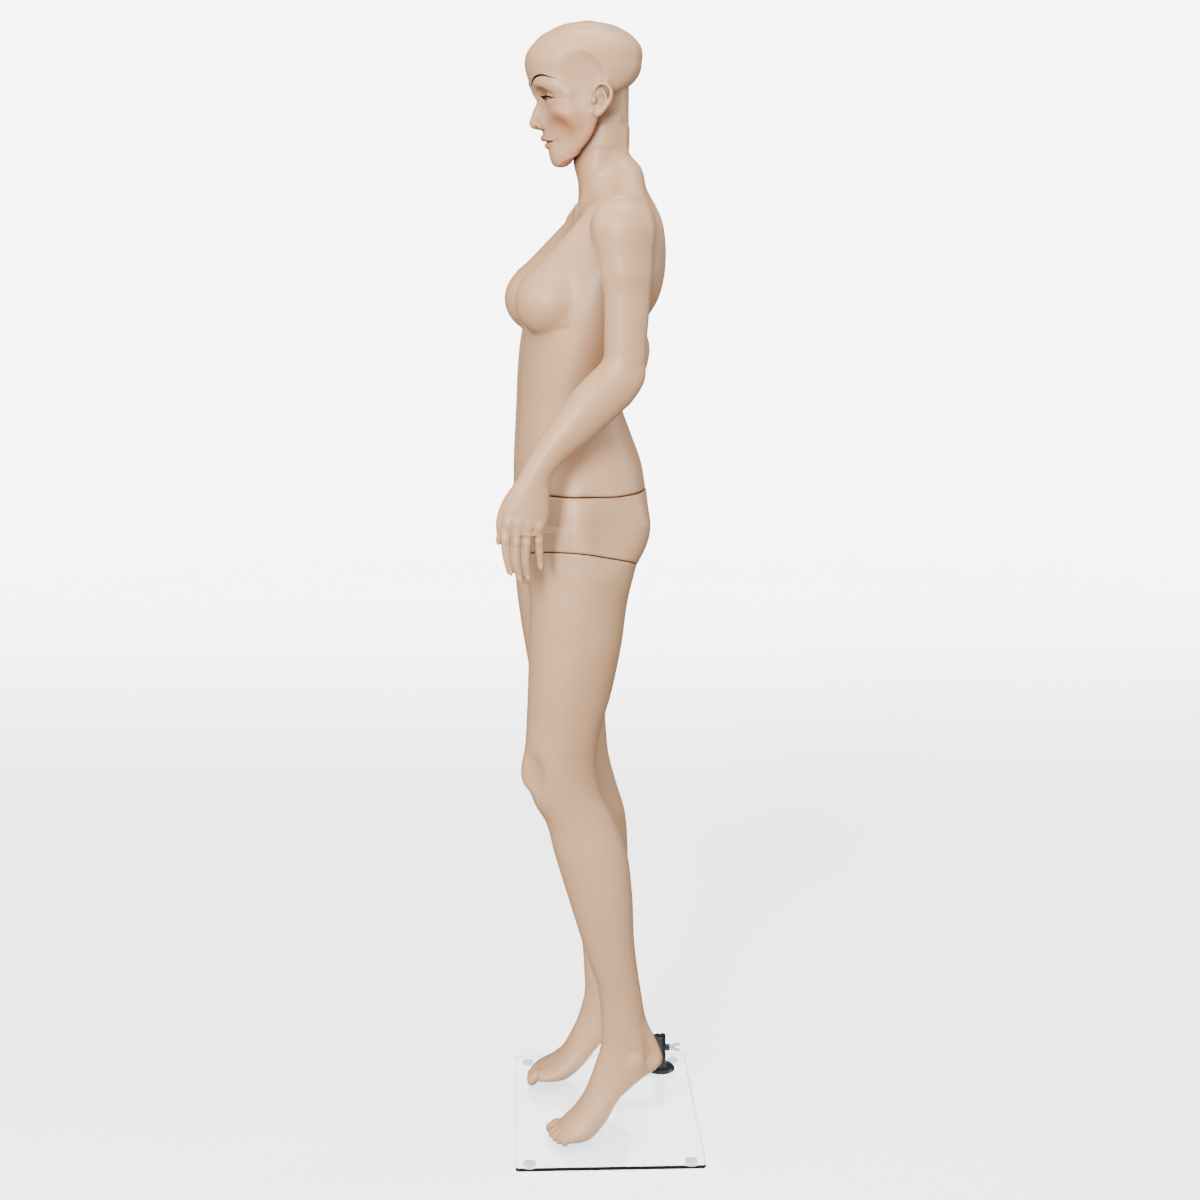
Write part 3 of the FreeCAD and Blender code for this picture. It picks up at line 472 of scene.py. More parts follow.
def add_ankle(block, side, x, y, z):
    """Ankle bones, and the hollows beside the heel tendon."""
    block.add(ball((x + side * 24, y + 8, z - 6), (9, 12, 14)), 12)
    block.add(ball((x - side * 24, y + 2, z + 2), (9, 12, 14)), 12)
    for flank in (-1, 1):
        block.cut(rod([(x + flank * 25, y + 32, z + 62), (x + flank * 24, y + 36, z + 4)], [9, 9]), 16)


def add_knee(block, x, front, z):
    """Kneecap with the shallow hollows beside and below it."""
    block.add(ball((x, front + 21, z + 6), (25, 24, 30)), 16)
    for flank in (-1, 1):
        block.cut(ball((x + flank * 33, front + 6, z + 4), (13, 12, 26)), 22)
    block.cut(ball((x, front - 4, z - 42), (20, 10, 16)), 20)


def pelvis(block):
    """Everything near the hips, before it is parted by the seams."""
    block.add(sweep(HIP, 2.35))
    block.add(sweep(LEFT_LEG), 10)
    block.add(sweep(RIGHT_LEG), 10)
    for side in (-1, 1):
        block.add(ball((side * 72, -7, 1006), (74, 50, 58), (0, 0, side * 12)), 20)
        block.cut(ball((side * 166, 4, 1005), (16, 40, 42)), 45)
    block.cut(rod([(0, 70, 1028), (0, 72, 985), (0, 50, 935)], [3, 7, 9]), 22)
    block.add(ball((0, -108, 948), (40, 30, 42)), 26)
    for side in (-1, 1):
        block.cut(rod([(side * 150, -146, 1005), (side * 70, -156, 958), (side * 22, -150, 925)], 2), 18)


def seam_plane(side, sign, offset):
    """Plane of a leg seam; sign 1 keeps what is above it."""
    normal = (sign * LEG_SEAM_SLOPE[0] * side, sign * LEG_SEAM_SLOPE[1], -sign)
    point = (side * LEG_SEAM_POINT[0], LEG_SEAM_POINT[1], LEG_SEAM_POINT[2] + sign * offset)
    return half_space(point, normal)


def hips():
    block = Block((-170, -150, 918), (170, 72, WAIST_SEAM_Z), 2.2)
    pelvis(block)
    block.keep(half_space((0, 0, WAIST_SEAM_Z - SEAM_HALF_GAP), (0, 0, 1)), SEAM_ROUND)
    for side in (-1, 1):
        block.keep(seam_plane(side, 1, SEAM_HALF_GAP), SEAM_ROUND)
    block.cut(upright(26, 0, -40, WAIST_SEAM_Z - 30, WAIST_SEAM_Z + 10), 0.8)
    return block


def leg(side):
    outer = side * 176
    low, high = min(0.0, outer), max(0.0, outer)
    block = Block((low, -160 if side > 0 else -145, 4), (high, 82, 1000), 2.3)
    pelvis(block)
    if side > 0:
        add_knee(block, 97, -146, 622)
        add_ankle(block, side, 102, 20, 150)
        add_foot(block, side, 102, -91, 0)
    else:
        add_knee(block, -102, -101, 622)
        add_ankle(block, side, -110, 18, 142)
        add_foot(block, side, -110, -100, 6)
        block.cut(upright(5.4, -110, 46, 60, 184), 0.6)
    block.keep(seam_plane(side, -1, SEAM_HALF_GAP), SEAM_ROUND)
    block.keep(half_space((side * 0.6, 0, 0), (-side, 0, 0)), SEAM_ROUND)
    block.keep(half_space((0, 0, 11.4), (0, 0, -1)), 2.0)
    return block


# ---- torso ---------------------------------------------------------------------------------
TORSO = [
    level(1035, -146, 56, 158), level(1061, -147, 52.5, 152), level(1100, -147, 46, 139),
    level(1150, -145, 28, 123), level(1190, -143, 15, 116), level(1235, -141, 20, 119),
    level(1290, -135, 42, 128), level(1345, -120, 64, 136), level(1395, -98, 75, 138),
    level(1435, -71, 77, 131), level(1465, -53, 74, 110), level(1488, -46, 66, 78),
    level(1515, -48, 50, 52), level(1548, -56, 29, 42.5), level(1600, -57.3, 26.7, 42),
]


def torso():
    block = Block((-150, -158, WAIST_SEAM_Z), (150, 82, NECK_TOP_Z), 2.7)
    block.add(sweep(TORSO, 2.25))
    block.add(upright(NECK_RADIUS, 0, NECK_AXIS_Y, 1572, NECK_TOP_Z + 10), 6)
    for side in (-1, 1):
        shift, radius = (0, SHOULDER_RADIUS) if side > 0 else (FAR_SHOULDER_BACK, FAR_SHOULDER_RADIUS)
        outer = (side * 170, SHOULDER[1] + shift, SHOULDER[2])
        block.add(rod([(side * 40, 18, 1450), outer], [42, radius]), 20)
        block.add(rod([(side * 30, 22, 1530), (side * 110, 14, 1478)], [20, 18]), 30)
        block.add(rod([(side * 60, -22, 1478), (side * 66, -88, 1362)], [16, 50]), 20)
        block.add(ball((side * 67, -98, 1344), (56, 56, 53)), 9)
        block.cut(rod(curved([(side * 34, -143, 1295), (side * 67, -141, 1290), (side * 100, -118, 1295),
                              (side * 120, -84, 1309)]), 2.4), 6)
        block.add(ball((side * 70, 44, 1398), (42, 22, 56), (0, 0, side * -10)), 24)
        block.cut(rod([(side * 30, 92, 1440), (side * 26, 76, 1320), (side * 14, 46, 1210)], [9, 8, 6]), 28)
        block.add(rod(curved([(side * 12, -44, 1473), (side * 50, -40, 1480), (side * 92, -24, 1484),
                              (side * 128, -12, 1487)]), 7), 11)
        block.add(rod([(side * 11, -40, 1480), (side * 27, -28, 1540), (side * 36, -2, 1612)], [6, 8, 8]), 13)
        block.cut(ball((side * 60, -52, 1503), (30, 16, 14)), 16)
        block.cut(rod([(side * 100, 30, 1190), (side * 122, -60, 1180)], 2), 30)
    block.cut(rod([(0, 96, 1470), (0, 88, 1400), (0, 50, 1280), (0, 22, 1190), (0, 48, 1100)], 9), 20)
    block.cut(rod([(0, -152, 1285), (0, -160, 1230), (0, -160, 1140)], 7), 26)
    block.cut(ball((0, -68, 1482), (12, 17, 13)), 12)
    block.cut(rod([(0, -128, 1340), (0, -104, 1400)], 14), 20)
    block.cut(ball((0, -149, 1108), (4.0, 8, 6.5)), 5)
    block.keep(half_space((0, 0, WAIST_SEAM_Z + SEAM_HALF_GAP), (0, 0, -1)), SEAM_ROUND)
    block.keep(half_space((0, 0, NECK_TOP_Z), (0, 0, 1)), SEAM_ROUND)
    for side in (-1, 1):
        block.keep(half_space((side * 148.0, 0, 0), (side, 0, 0)), SEAM_ROUND)
    return block


# ---- arms ----------------------------------------------------------------------------------
ARM = [
    level(1495, -24, 4, 8, 158), level(1484, -42, 22, 17, 165), level(1462, -50, 30, 23, 170.5),
    level(1408, -44, 31, 24, 172.5), level(1351, -38, 28.5, 26, 173.5), level(1294, -38, 24.5, 26.5, 173),
    tilted((-39, 1268), (21, 1247), 27, 173), tilted((-47, 1257), (8, 1212), 27, 175),
    tilted((-64, 1242), (-16, 1188), 28, 178), tilted((-86, 1219), (-41, 1166), 28, 181),
    tilted((-107, 1191), (-66, 1146), 26, 184), tilted((-129, 1161), (-90, 1128), 23, 187),
    tilted((-148, 1132), (-108, 1112), 20, 190), tilted((-164, 1103), (-120, 1094), 17, 193),
    tilted((-176, 1080), (-121, 1070), 15, 195), tilted((-187, 1054), (-122, 1047), 13.5, 196),
    tilted((-188, 1030), (-127, 1026), 12, 196), tilted((-186, 1018), (-131, 1014), 10.5, 196),
]
# Each finger from its knuckle to its tip, then the radii.
FINGERS = [
    ([(196, -181, 1036), (197, -185, 1010), (195.5, -183, 986), (192, -178.5, 962)], (8.8, 7.7, 7.0, 5.4)),
    ([(197, -166.5, 1037), (198.5, -170, 1006), (196.5, -169.5, 980), (191, -164.5, 952)],
     (8.8, 7.7, 7.1, 5.5)),
    ([(197, -151, 1034), (197.5, -155, 1005), (195, -156, 979), (189.5, -152.5, 953)], (8.4, 7.4, 6.8, 5.2)),
    ([(196, -137, 1031), (195.5, -137, 1008), (193.5, -136, 990), (190.5, -134, 969)], (7.8, 6.6, 6.1, 4.8)),
]
THUMB = ([(190, -165, 1082), (188, -180, 1062), (184, -190, 1035), (181, -190, 1006)], (10.2, 9.0, 7.6, 5.8))


def arm():
    """Left arm; the right one is its mirror image, swung back."""
    block = Block((143, -204, 940), (214, 42, 1500), 1.4)
    block.add(sweep(ARM))
    block.add(ball((150, SHOULDER[1], 1451), (45, SHOULDER_RADIUS, 45.5)), 14)
    block.add(rod([(166, -10, 1450), (172, -8, 1395)], [30, 24]), 26)
    block.add(ball((178, 3, 1238), (14, 15, 20), (-30, 0, 0)), 12)
    for points, radii in FINGERS:
        block.add(rod(curved(points, 4), np.interp(np.linspace(0, 3, 13), range(4), radii)), 2.4)
    block.add(rod(curved(THUMB[0], 4), np.interp(np.linspace(0, 3, 13), range(4), THUMB[1])), 6)
    for points, radii in FINGERS:
        knuckle = points[0]
        block.add(ball((knuckle[0] + 7, knuckle[1], knuckle[2] - 2), (4.5, 6, 8)), 5)
        bend = points[1]
        block.add(ball((bend[0] + radii[1] - 3, bend[1], bend[2]), (3.6, 6, 6)), 3)
    for (first, second, a, b) in ((0, 1, 1020, 968), (1, 2, 1020, 962), (2, 3, 1024, 972)):
        p, q = FINGERS[first][0], FINGERS[second][0]
        top = [(p[1][k] + q[1][k]) / 2 for k in range(3)]
        end = [(p[2][k] + q[2][k]) / 2 for k in range(3)]
        block.cut(rod([(206, top[1], a), (205, end[1], b)], 0.8), 4)
    for points, radii in FINGERS:
        tip, bend = points[3], points[2]
        lean = math.degrees(math.atan2(tip[1] - bend[1], bend[2] - tip[2]))
        nail = (tip[0] + radii[3] * 0.88, tip[1], tip[2] + 1.0)
        block.add(ball(nail, (1.5, radii[3] * 0.66, 7.6), (lean, -10, 0)), 0.5)
    tip = THUMB[0][3]
    block.add(ball((tip[0] + 4, tip[1] - 4.8, tip[2] + 1.0), (5, 1.8, 7.6), (4, 0, 40)), 0.5)
    block.keep(half_space((148.4, 0, 0), (-1, 0, 0)), SEAM_ROUND)
    return block


# ---- head ----------------------------------------------------------------------------------
HEAD = [
    tilted((-84, 1548), (-50, 1573), 28), tilted((-88, 1560), (-43, 1592), 42, 0, -0.3),
    tilted((-93, 1580), (-34, 1611), 54, 0, -0.3), tilted((-100, 1605), (-20, 1637), 64, 0, -0.25),
    tilted((-106, 1633), (24, 1658), 71, 0, -0.2), tilted((-122, 1662), (39, 1673), 74.5, 0, -0.15),
    tilted((-130, 1692), (45, 1693), 76, 0, -0.1), tilted((-118, 1719), (41, 1721), 69, 0, -0.1),
    tilted((-94, 1738), (18, 1740), 52), tilted((-66, 1749), (-6, 1749), 30),
    tilted((-45, 1752.5), (-26, 1752.5), 10),
]
EYE = (31.0, -90.0, 1640.0)
EYE_RADIUS = 13.5
BROW = [(12.5, 1658.5), (22, 1664), (34, 1669.5), (46, 1671), (58, 1666)]


def head_form():
    block = Block((-86, -132, 1538), (86, 50, 1756), 1.34)
    block.add(sweep(HEAD, 2.15))
    for side in (-1, 1):
        block.add(rod(curved([(side * 12, -74, 1557), (side * 34, -61, 1570), (side * 50, -46, 1592),
                              (side * 59, -38, 1618)]), 10), 18)
        block.add(ball((side * 46, -76, 1612), (19, 21, 19)), 22)
        block.cut(ball((side * 50, -90, 1585), (18, 15, 22)), 26)
        block.add(rod(curved([(side * 10, -108, 1651), (side * 28, -108, 1660), (side * 46, -92, 1658),
                              (side * 58, -72, 1648)]), 9), 14)
        block.cut(ball((side * 29, -117, 1642), (19, 17, 11.5)), 10)
        block.cut(ball((side * 74, -62, 1668), (8, 28, 24)), 24)
    block.add(ball((0, -74, 1557), (19, 13.5, 12.5)), 14)
    block.add(rod([(0, -80, 1572), (0, -91, 1593)], [12.5, 12.5]), 12)
    add_nose(block)
    add_mouth(block)
    for side in (-1, 1):
        add_eye(block, side)
        add_ear(block, side)
    block.cut(upright(HEAD_BORE, 0, NECK_AXIS_Y, 1500, NECK_TOP_Z + 2.2), 0.8)
    block.cut(upright(24, 0, NECK_AXIS_Y, 1650, 1706), 0.8)
    return block


def add_nose(block):
    block.add(rod(curved([(0, -100, 1648), (0, -106, 1632), (0, -112.5, 1618), (0, -115.5, 1606.5)]),
                  np.linspace(6.0, 7.2, 19)), 7)
    block.add(ball((0, -115, 1605), (8.5, 8.2, 7.4)), 4)
    for side in (-1, 1):
        block.add(ball((side * 8, -98, 1617), (9, 9, 18), (-12, 0, 0)), 8)
    for side in (-1, 1):
        block.add(ball((side * 9.5, -105.5, 1602), (6.2, 8.5, 6.4), (0, 0, side * 14)), 4)
        block.cut(ball((side * 5.2, -110, 1596.5), (2.6, 4.4, 3.4), (0, 0, side * 22)), 1.6)
        block.cut(rod([(side * 16, -108, 1607), (side * 17.5, -102, 1598)], 1.6), 5)
    block.add(rod([(0, -117.5, 1600.5), (0, -106, 1596)], [3.0, 3.2]), 3)


def lip_line(side_points):
    """Curve across the face from one corner of the mouth to the other."""
    left = [(-x, y, z) for x, y, z in reversed(side_points) if x > 0]
    return curved(left + list(side_points))


def add_mouth(block):
    block.cut(rod([(0, -108, 1593), (0, -106.5, 1588)], [1.6, 2.2]), 4.5)
    upper = lip_line([(0, -102.0, 1582.6), (5, -102.0, 1584.0), (13, -97.0, 1582.0), (21.5, -87.0, 1578.8)])
    middle = np.linspace(-1, 1, len(upper))
    block.add(rod(upper, 4.3 - 2.7 * middle ** 2), 2.2)
    lower = lip_line([(0, -95.8, 1572.8), (8, -94.4, 1573.0), (16, -89.8, 1575.2), (21, -86.0, 1578.0)])
    middle = np.linspace(-1, 1, len(lower))
    block.add(rod(lower, 5.0 - 3.6 * middle ** 2), 2.2)
    parting = lip_line([(0, -99.0, 1578.0), (8, -98.0, 1578.6), (16, -93.5, 1578.4), (23, -87.5, 1578.0)])
    block.cut(rod(parting, 1.5), 1.2)
    for side in (-1, 1):
        block.cut(ball((side * 24.5, -88.5, 1577.5), (4, 4.5, 4)), 5)


def add_eye(block, side):
    """Eyeball under a half lowered upper lid."""
    centre = (side * EYE[0], EYE[1], EYE[2])
    lids = block.fresh()
    lid_ball = ball(centre, EYE_RADIUS + 1.5)
    window, outer = lids.sample(lid_ball, 8)
    _, inner = lids.sample((lid_ball[0], ball(centre, EYE_RADIUS)[1]), 8)
    x = lids.axes[0][window[0]][:, None, None]
    y = lids.axes[1][window[1]][None, :, None]
    z = lids.axes[2][window[2]][None, None, :]
    upper_edge, lower_edge = lid_edges((x * side - EYE[0]) / 15.0)
    opening = np.maximum(z - upper_edge, lower_edge - z) + 0.0 * y
    shell = -smooth_union(-outer, opening, 0.7)
    lids.field[window] = np.minimum(inner, shell)
    fold = rod(curved([(side * 17, -104, 1645), (side * 30, -110, 1651.5), (side * 46, -96, 1645.5)]), 0.9)
    block.merge(lids, 1.6)
    block.cut(fold, 3.2)


def add_ear(block, side):
    def at(x, y, z):
        return (side * (x - 0.5), -28 + (y + 28) * 0.86, 1638 + (z - 1640) * 0.84)
    block.add(ball(at(72.5, -27, 1640), (4.6, 12.5, 23.5), (-8, 0, side * -16)), 5)
    helix = curved([at(71, -39, 1645), at(75, -38, 1656), at(78.5, -30, 1664), at(81, -19, 1661),
                    at(82, -12.5, 1650), at(80.5, -14.5, 1636), at(77.5, -22, 1624), at(75.5, -29, 1616)])
    block.add(rod(helix, np.r_[np.linspace(2.6, 3.2, 22), np.linspace(3.2, 3.9, 21)]), 1.8)
    block.add(ball(at(74, -33.5, 1616.5), (4.0, 5.4, 7.0)), 3)
    groove = curved([at(80, -35, 1655), at(82.5, -25, 1659), at(83, -17.5, 1651), at(81.5, -18.5, 1639)])
    block.cut(rod(groove, 2.0), 2.0)
    inner_rim = curved([at(76.5, -27, 1655), at(79.5, -22, 1646), at(79.5, -21, 1635), at(77, -28, 1626)])
    block.add(rod(inner_rim, 2.5), 2.2)
    block.cut(ball(at(79.5, -31.5, 1637.5), (6.5, 6.8, 10)), 2.4)
    block.cut(ball(at(79, -35.0, 1628), (4.4, 3.4, 5)), 2.0)
    block.add(ball(at(74.5, -40, 1636), (4.2, 3.6, 5.4), (0, 0, side * 20)), 2.4)


# ---- painted features ----------------------------------------------------------------------
def lay_on(block, across, height, lift):
    """Points of the front surface at x = across and z = height, lifted a little off it."""
    points = np.stack([across, np.full_like(across, -131.0), height], axis=1)
    for _ in range(40):
        points[:, 1] += np.clip(block.value(points) * 0.8, -2.0, 6.0)
    slope = block.slope(points)
    slope /= np.linalg.norm(slope, axis=1)[:, None]
    return points + slope * np.broadcast_to(np.asarray(lift, float), (len(points),))[:, None]


def strip(block, line, width, lift=0.25, steps=40, rows=5):
    """Painted line through points (x, z), with its width given along the way."""
    line = np.asarray(line, float)
    centre = hermite(np.linspace(0, 1, len(line)), line, np.linspace(0, 1, steps))
    ahead = np.gradient(centre, axis=0)
    normal = np.c_[-ahead[:, 1], ahead[:, 0]] / np.linalg.norm(ahead, axis=1)[:, None]
    width = np.interp(np.linspace(0, 1, steps), np.linspace(0, 1, len(width)), width)
    share = np.linspace(-0.5, 0.5, rows)
    grid = centre[:, None, :] + normal[:, None, :] * (share[None, :] * width[:, None])[:, :, None]
    bulge = np.broadcast_to((1 - (2 * share) ** 2) * lift + 0.05, (steps, rows)).ravel()
    points = lay_on(block, grid[:, :, 0].ravel(), grid[:, :, 1].ravel(), bulge)
    return points, grid_quads(steps, rows)


def disc(block, x, z, radius, top, bottom, lift, steps=24, rows=6):
    """Painted spot, cut off level by the lids at top and bottom."""
    angle = np.linspace(0, 2 * math.pi, steps)
    share = np.linspace(0.02, 1, rows)
    px = x + radius * np.cos(angle)[:, None] * share[None, :]
    pz = np.clip(z + radius * np.sin(angle)[:, None] * share[None, :], bottom, top)
    return lay_on(block, px.ravel(), pz.ravel(), lift), grid_quads(steps, rows)


def grid_quads(steps, rows):
    i = np.arange(steps - 1)[:, None] * rows + np.arange(rows - 1)[None, :]
    i = i.ravel()
    return np.stack([i, i + 1, i + rows + 1, i + rows], axis=1)


def hair(start, reach, radius):
    """Lash that curls upwards to a point."""
    t = np.linspace(0, 1, 6)[:, None]
    start, reach = np.asarray(start, float), np.asarray(reach, float)
    spine = start + reach * t + np.array([0, 0, 3.4]) * (t ** 2.2)
    angle = np.linspace(0, 2 * math.pi, 6)[None, :]
    girth = radius * (1 - t * 0.93)
    ring = np.stack([np.cos(angle) * girth, 0 * angle * girth, np.sin(angle) * girth], axis=2)
    points = (spine[:, None, :] + ring).reshape(-1, 3)
    return points, grid_quads(6, 6)


def joined(parts):
    points, quads, count = [], [], 0
    for p, q in parts:
        points.append(p)
        quads.append(q + count)
        count += len(p)
    return np.concatenate(points), np.concatenate(quads)


def painted(name, parts, material):
    points, quads = joined(parts)
    piece = make_mesh(name, placed(points), quads)
    piece.data.materials.append(material)
    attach(piece, "head")
    return piece


def lid_edges(along):
    """Height of the upper and the lower lid, with along from the inner corner (-1) to the outer one (1)."""
    upper = EYE[2] + 1.6 - 3.4 * along ** 2 + 1.0 * along
    lower = EYE[2] - 4.6 + 3.2 * along ** 2 + 0.8 * along
    return upper, lower


def paint_face(block, looks):
    white, iris, pupil, painted_glints, dark = [], [], [], [], []
    along = np.linspace(-0.98, 0.98, 30)
    upper, lower = lid_edges(along)
    lower = np.minimum(lower, upper)
    for side in (-1, 1):
        share = np.linspace(0, 1, 7)
        px = side * (EYE[0] + along[:, None] * 13.2) + 0 * share[None, :]
        pz = lower[:, None] + (upper - lower)[:, None] * share[None, :]
        white.append((lay_on(block, px.ravel(), pz.ravel(), 0.12), grid_quads(30, 7)))
        top, low = EYE[2] + 1.5, EYE[2] - 4.4
        iris.append(disc(block, side * EYE[0], EYE[2] - 1.0, 6.0, top, low, 0.2))
        pupil.append(disc(block, side * EYE[0], EYE[2] - 1.0, 2.7, top, low, 0.27))
        # Painted highlight: a small pale glint on each eye, beside the pupil.
        painted_glints.append(disc(block, side * EYE[0] + 2.2, EYE[2] - 0.4, 0.9, top, low, 0.34))
        lid = [(side * (EYE[0] + a * 13.6), z + 0.5) for a, z in zip(along[::6], upper[::6])]
        lid.append((side * (EYE[0] + 17.5), EYE[2] - 0.6))
        dark.append(strip(block, lid, [0.9, 2.2, 2.8, 3.0, 2.6, 0.6], 0.6))
        under = [(side * (EYE[0] + a * 13.2), z - 0.3) for a, z in zip(along[6::6], lower[6::6])]
        dark.append(strip(block, under, [0.25, 0.5, 0.7, 0.7], 0.15))
        brow = [(side * x, z) for x, z in BROW]
        dark.append(strip(block, brow, [3.6, 4.6, 4.0, 2.8, 0.5], 0.3, 60))
        for a in np.linspace(-0.75, 1.0, 26):
            top_z = lid_edges(a)[0]
            root = lay_on(block, np.array([side * (EYE[0] + a * 13.6)]), np.array([top_z + 0.3]), 0.1)[0]
            dark.append(hair(root, (side * (3.4 * a + 2.0), -7.6 + 1.6 * abs(a), -2.2), 0.62))
    painted("eye_whites", white, looks["eye_white"])
    painted("irises", iris, looks["iris"])
    painted("pupils", pupil, looks["pupil"])
    painted("painted_eye_glints", painted_glints, looks["painted_eye_glint"])
    painted("brows_and_lashes", dark, looks["lash"])


def soft_spot(points, centre, radii):
    """1 in the middle of a soft spot, fading to 0 at its edge."""
    d = np.sqrt(np.sum(((points - np.asarray(centre)) / np.asarray(radii)) ** 2, axis=1))
    return np.clip(1 - d, 0, 1) ** 1.5


def head_tint(points):
    """Colour laid over each point of the head: red, green, blue and strength. Blush and lip paint are
    make-up; the dark in the nostrils and in the parting of the lips is painted shade.
    """
    tint = np.zeros((len(points), 4), np.float32)
    mirror = points.copy()
    mirror[:, 0] = np.abs(mirror[:, 0])

    def spray_makeup_and_shade(colour, strength):
        keep = tint[:, 3] * (1 - strength)
        total = keep + strength
        for k in range(3):
            tint[:, k] = (tint[:, k] * keep + colour[k] * strength) / np.maximum(total, 1e-6)
        tint[:, 3] = total

    spray_makeup_and_shade((0.50, 0.17, 0.09), 0.85 * soft_spot(mirror, (52, -82, 1606), (44, 50, 48)))
    # Brown darkening over the eye sockets and at their inner corners beside the nose.
    spray_makeup_and_shade((0.22, 0.09, 0.05), 0.9 * soft_spot(mirror, (32, -102, 1645), (27, 24, 15)))
    spray_makeup_and_shade((0.34, 0.15, 0.09), 0.5 * soft_spot(mirror, (18, -98, 1643), (10, 16, 16)))
    # Painted shade: dark in the nostrils.
    spray_makeup_and_shade((0.25, 0.07, 0.04), 0.95 * np.clip(soft_spot(mirror, (5.5, -109, 1597), (5.0, 7, 4.4)) * 2.2, 0, 1))
    lips = mouth_share(mirror)
    spray_makeup_and_shade((0.56, 0.15, 0.12), 0.72 * lips)
    # Painted shade: dark in the parting between the lips.
    spray_makeup_and_shade((0.14, 0.03, 0.02), 0.95 * np.clip(2 * soft_spot(mirror, (0, -93, 1578.2), (25, 9, 3.0)), 0, 1))
    return tint


def mouth_share(mirror):
    """1 on the lips."""
    x = mirror[:, 0]
    top = np.interp(x, [0, 5, 13, 22], [1586.4, 1588.0, 1585.0, 1579.0])
    low = np.interp(x, [0, 8, 16, 22], [1567.6, 1568.0, 1571.4, 1577.2])
    edge = np.minimum(np.minimum(top - mirror[:, 2], mirror[:, 2] - low), 22.5 - x)
    front = np.clip((-84.0 - mirror[:, 1]) / 3.0, 0, 1)
    return np.clip(edge / 1.1, 0, 1) * front


# ---- materials -----------------------------------------------------------------------------
class Look:
    """Node material with one principled shader."""

    def __init__(self, name):
        self.material = bpy.data.materials.new(name)
        self.material.use_nodes = True
        self.tree = self.material.node_tree
        self.shader = self.tree.nodes["Principled BSDF"]

    def set(self, **values):
        for name, value in values.items():
            self.shader.inputs[name.replace("_", " ")].default_value = value
        return self

    def node(self, kind, **values):
        node = self.tree.nodes.new("ShaderNode" + kind)
        for name, value in values.items():
            if name in node.inputs:
                node.inputs[name].default_value = value
            else:
                setattr(node, name, value)
        return node

    def link(self, source, target):
        self.tree.links.new(source, target)

    def place(self, stretch=(1, 1, 1)):
        where = self.node("TexCoord")
        scaled = self.node("Mapping")
        scaled.inputs["Scale"].default_value = stretch
        self.link(where.outputs["Object"], scaled.inputs["Vector"])
        return scaled.outputs["Vector"]

    def noise(self, scale, detail=3.0, stretch=(1, 1, 1)):
        noise = self.node("TexNoise", Scale=scale, Detail=detail)
        self.link(self.place(stretch), noise.inputs["Vector"])
        return noise.outputs["Fac"]

    def blend(self, share, dark, light):
        """Colour between dark and light, as a noise says."""
        ramp = self.node("ValToRGB")
        ramp.color_ramp.elements[0].position = 0.32
        ramp.color_ramp.elements[1].position = 0.68
        ramp.color_ramp.elements[0].color = (*dark, 1)
        ramp.color_ramp.elements[1].color = (*light, 1)
        self.link(share, ramp.inputs["Fac"])
        return ramp.outputs["Color"]

    def colour(self, socket):
        self.link(socket, self.shader.inputs["Base Color"])

    def rough(self, share, low, high):
        spread = self.node("MapRange")
        spread.inputs["To Min"].default_value = low
        spread.inputs["To Max"].default_value = high
        self.link(share, spread.inputs["Value"])
        self.link(spread.outputs["Result"], self.shader.inputs["Roughness"])

    def bump(self, share, strength, distance):
        bump = self.node("Bump", Strength=strength, Distance=distance)
        self.link(share, bump.inputs["Height"])
        self.link(bump.outputs["Normal"], self.shader.inputs["Normal"])


SKIN_LIGHT = (0.560, 0.335, 0.188)
SKIN_DARK = (0.515, 0.296, 0.158)


def skin(name, tinted=False):
    look = Look(name)
    base = look.blend(look.noise(6.0, 2.0), SKIN_DARK, SKIN_LIGHT)
    if tinted:
        tint = look.node("Attribute", attribute_name="tint")
        mix = look.node("Mix", data_type="RGBA")
        look.link(tint.outputs["Alpha"], mix.inputs["Factor"])
        look.link(base, mix.inputs["A"])
        look.link(tint.outputs["Color"], mix.inputs["B"])
        base = mix.outputs["Result"]
    # Painted shade: ambient occlusion darkens the skin colour to warm brown in creases and between parts.
    shade = look.node("AmbientOcclusion", Distance=0.055, samples=6)
    painted_crease_shade = look.node("Mix", data_type="RGBA", blend_type="MULTIPLY")
    painted_crease_shade.inputs["Factor"].default_value = 1.0
    depth = look.node("ValToRGB")
    depth.color_ramp.elements[0].color = (0.20, 0.10, 0.06, 1)
    depth.color_ramp.elements[1].position = 0.97
    depth.color_ramp.elements[1].color = (1, 1, 1, 1)
    look.link(shade.outputs["AO"], depth.inputs["Fac"])
    look.link(base, painted_crease_shade.inputs["A"])
    look.link(depth.outputs["Color"], painted_crease_shade.inputs["B"])
    look.colour(painted_crease_shade.outputs["Result"])
    look.rough(look.noise(14.0, 3.0), 0.38, 0.46)
    look.bump(look.noise(900.0, 2.0), 0.06, 0.0004)
    look.set(Subsurface_Weight=0.12, Subsurface_Radius=(0.012, 0.005, 0.003), Subsurface_Scale=1.0, IOR=1.45)
    return look.material


def finish(name, dark, light, grain, rough_grain, roughness, bump=None, **sockets):
    """Paint or moulded surface: colour and roughness each follow a grain, and a bump may too."""
    look = Look(name)
    look.colour(look.blend(look.noise(grain), dark, light))
    look.rough(look.noise(rough_grain), *roughness)
    if bump:
        look.bump(look.noise(240.0, 2.0), *bump)
    return look.set(**sockets).material


def plain_paint(name, dark, light, roughness, coat=0.0):
    return finish(name, dark, light, 420.0, 300.0, (roughness * 0.85, roughness * 1.15),
                  Coat_Weight=coat, Coat_Roughness=0.06, Specular_IOR_Level=0.15)


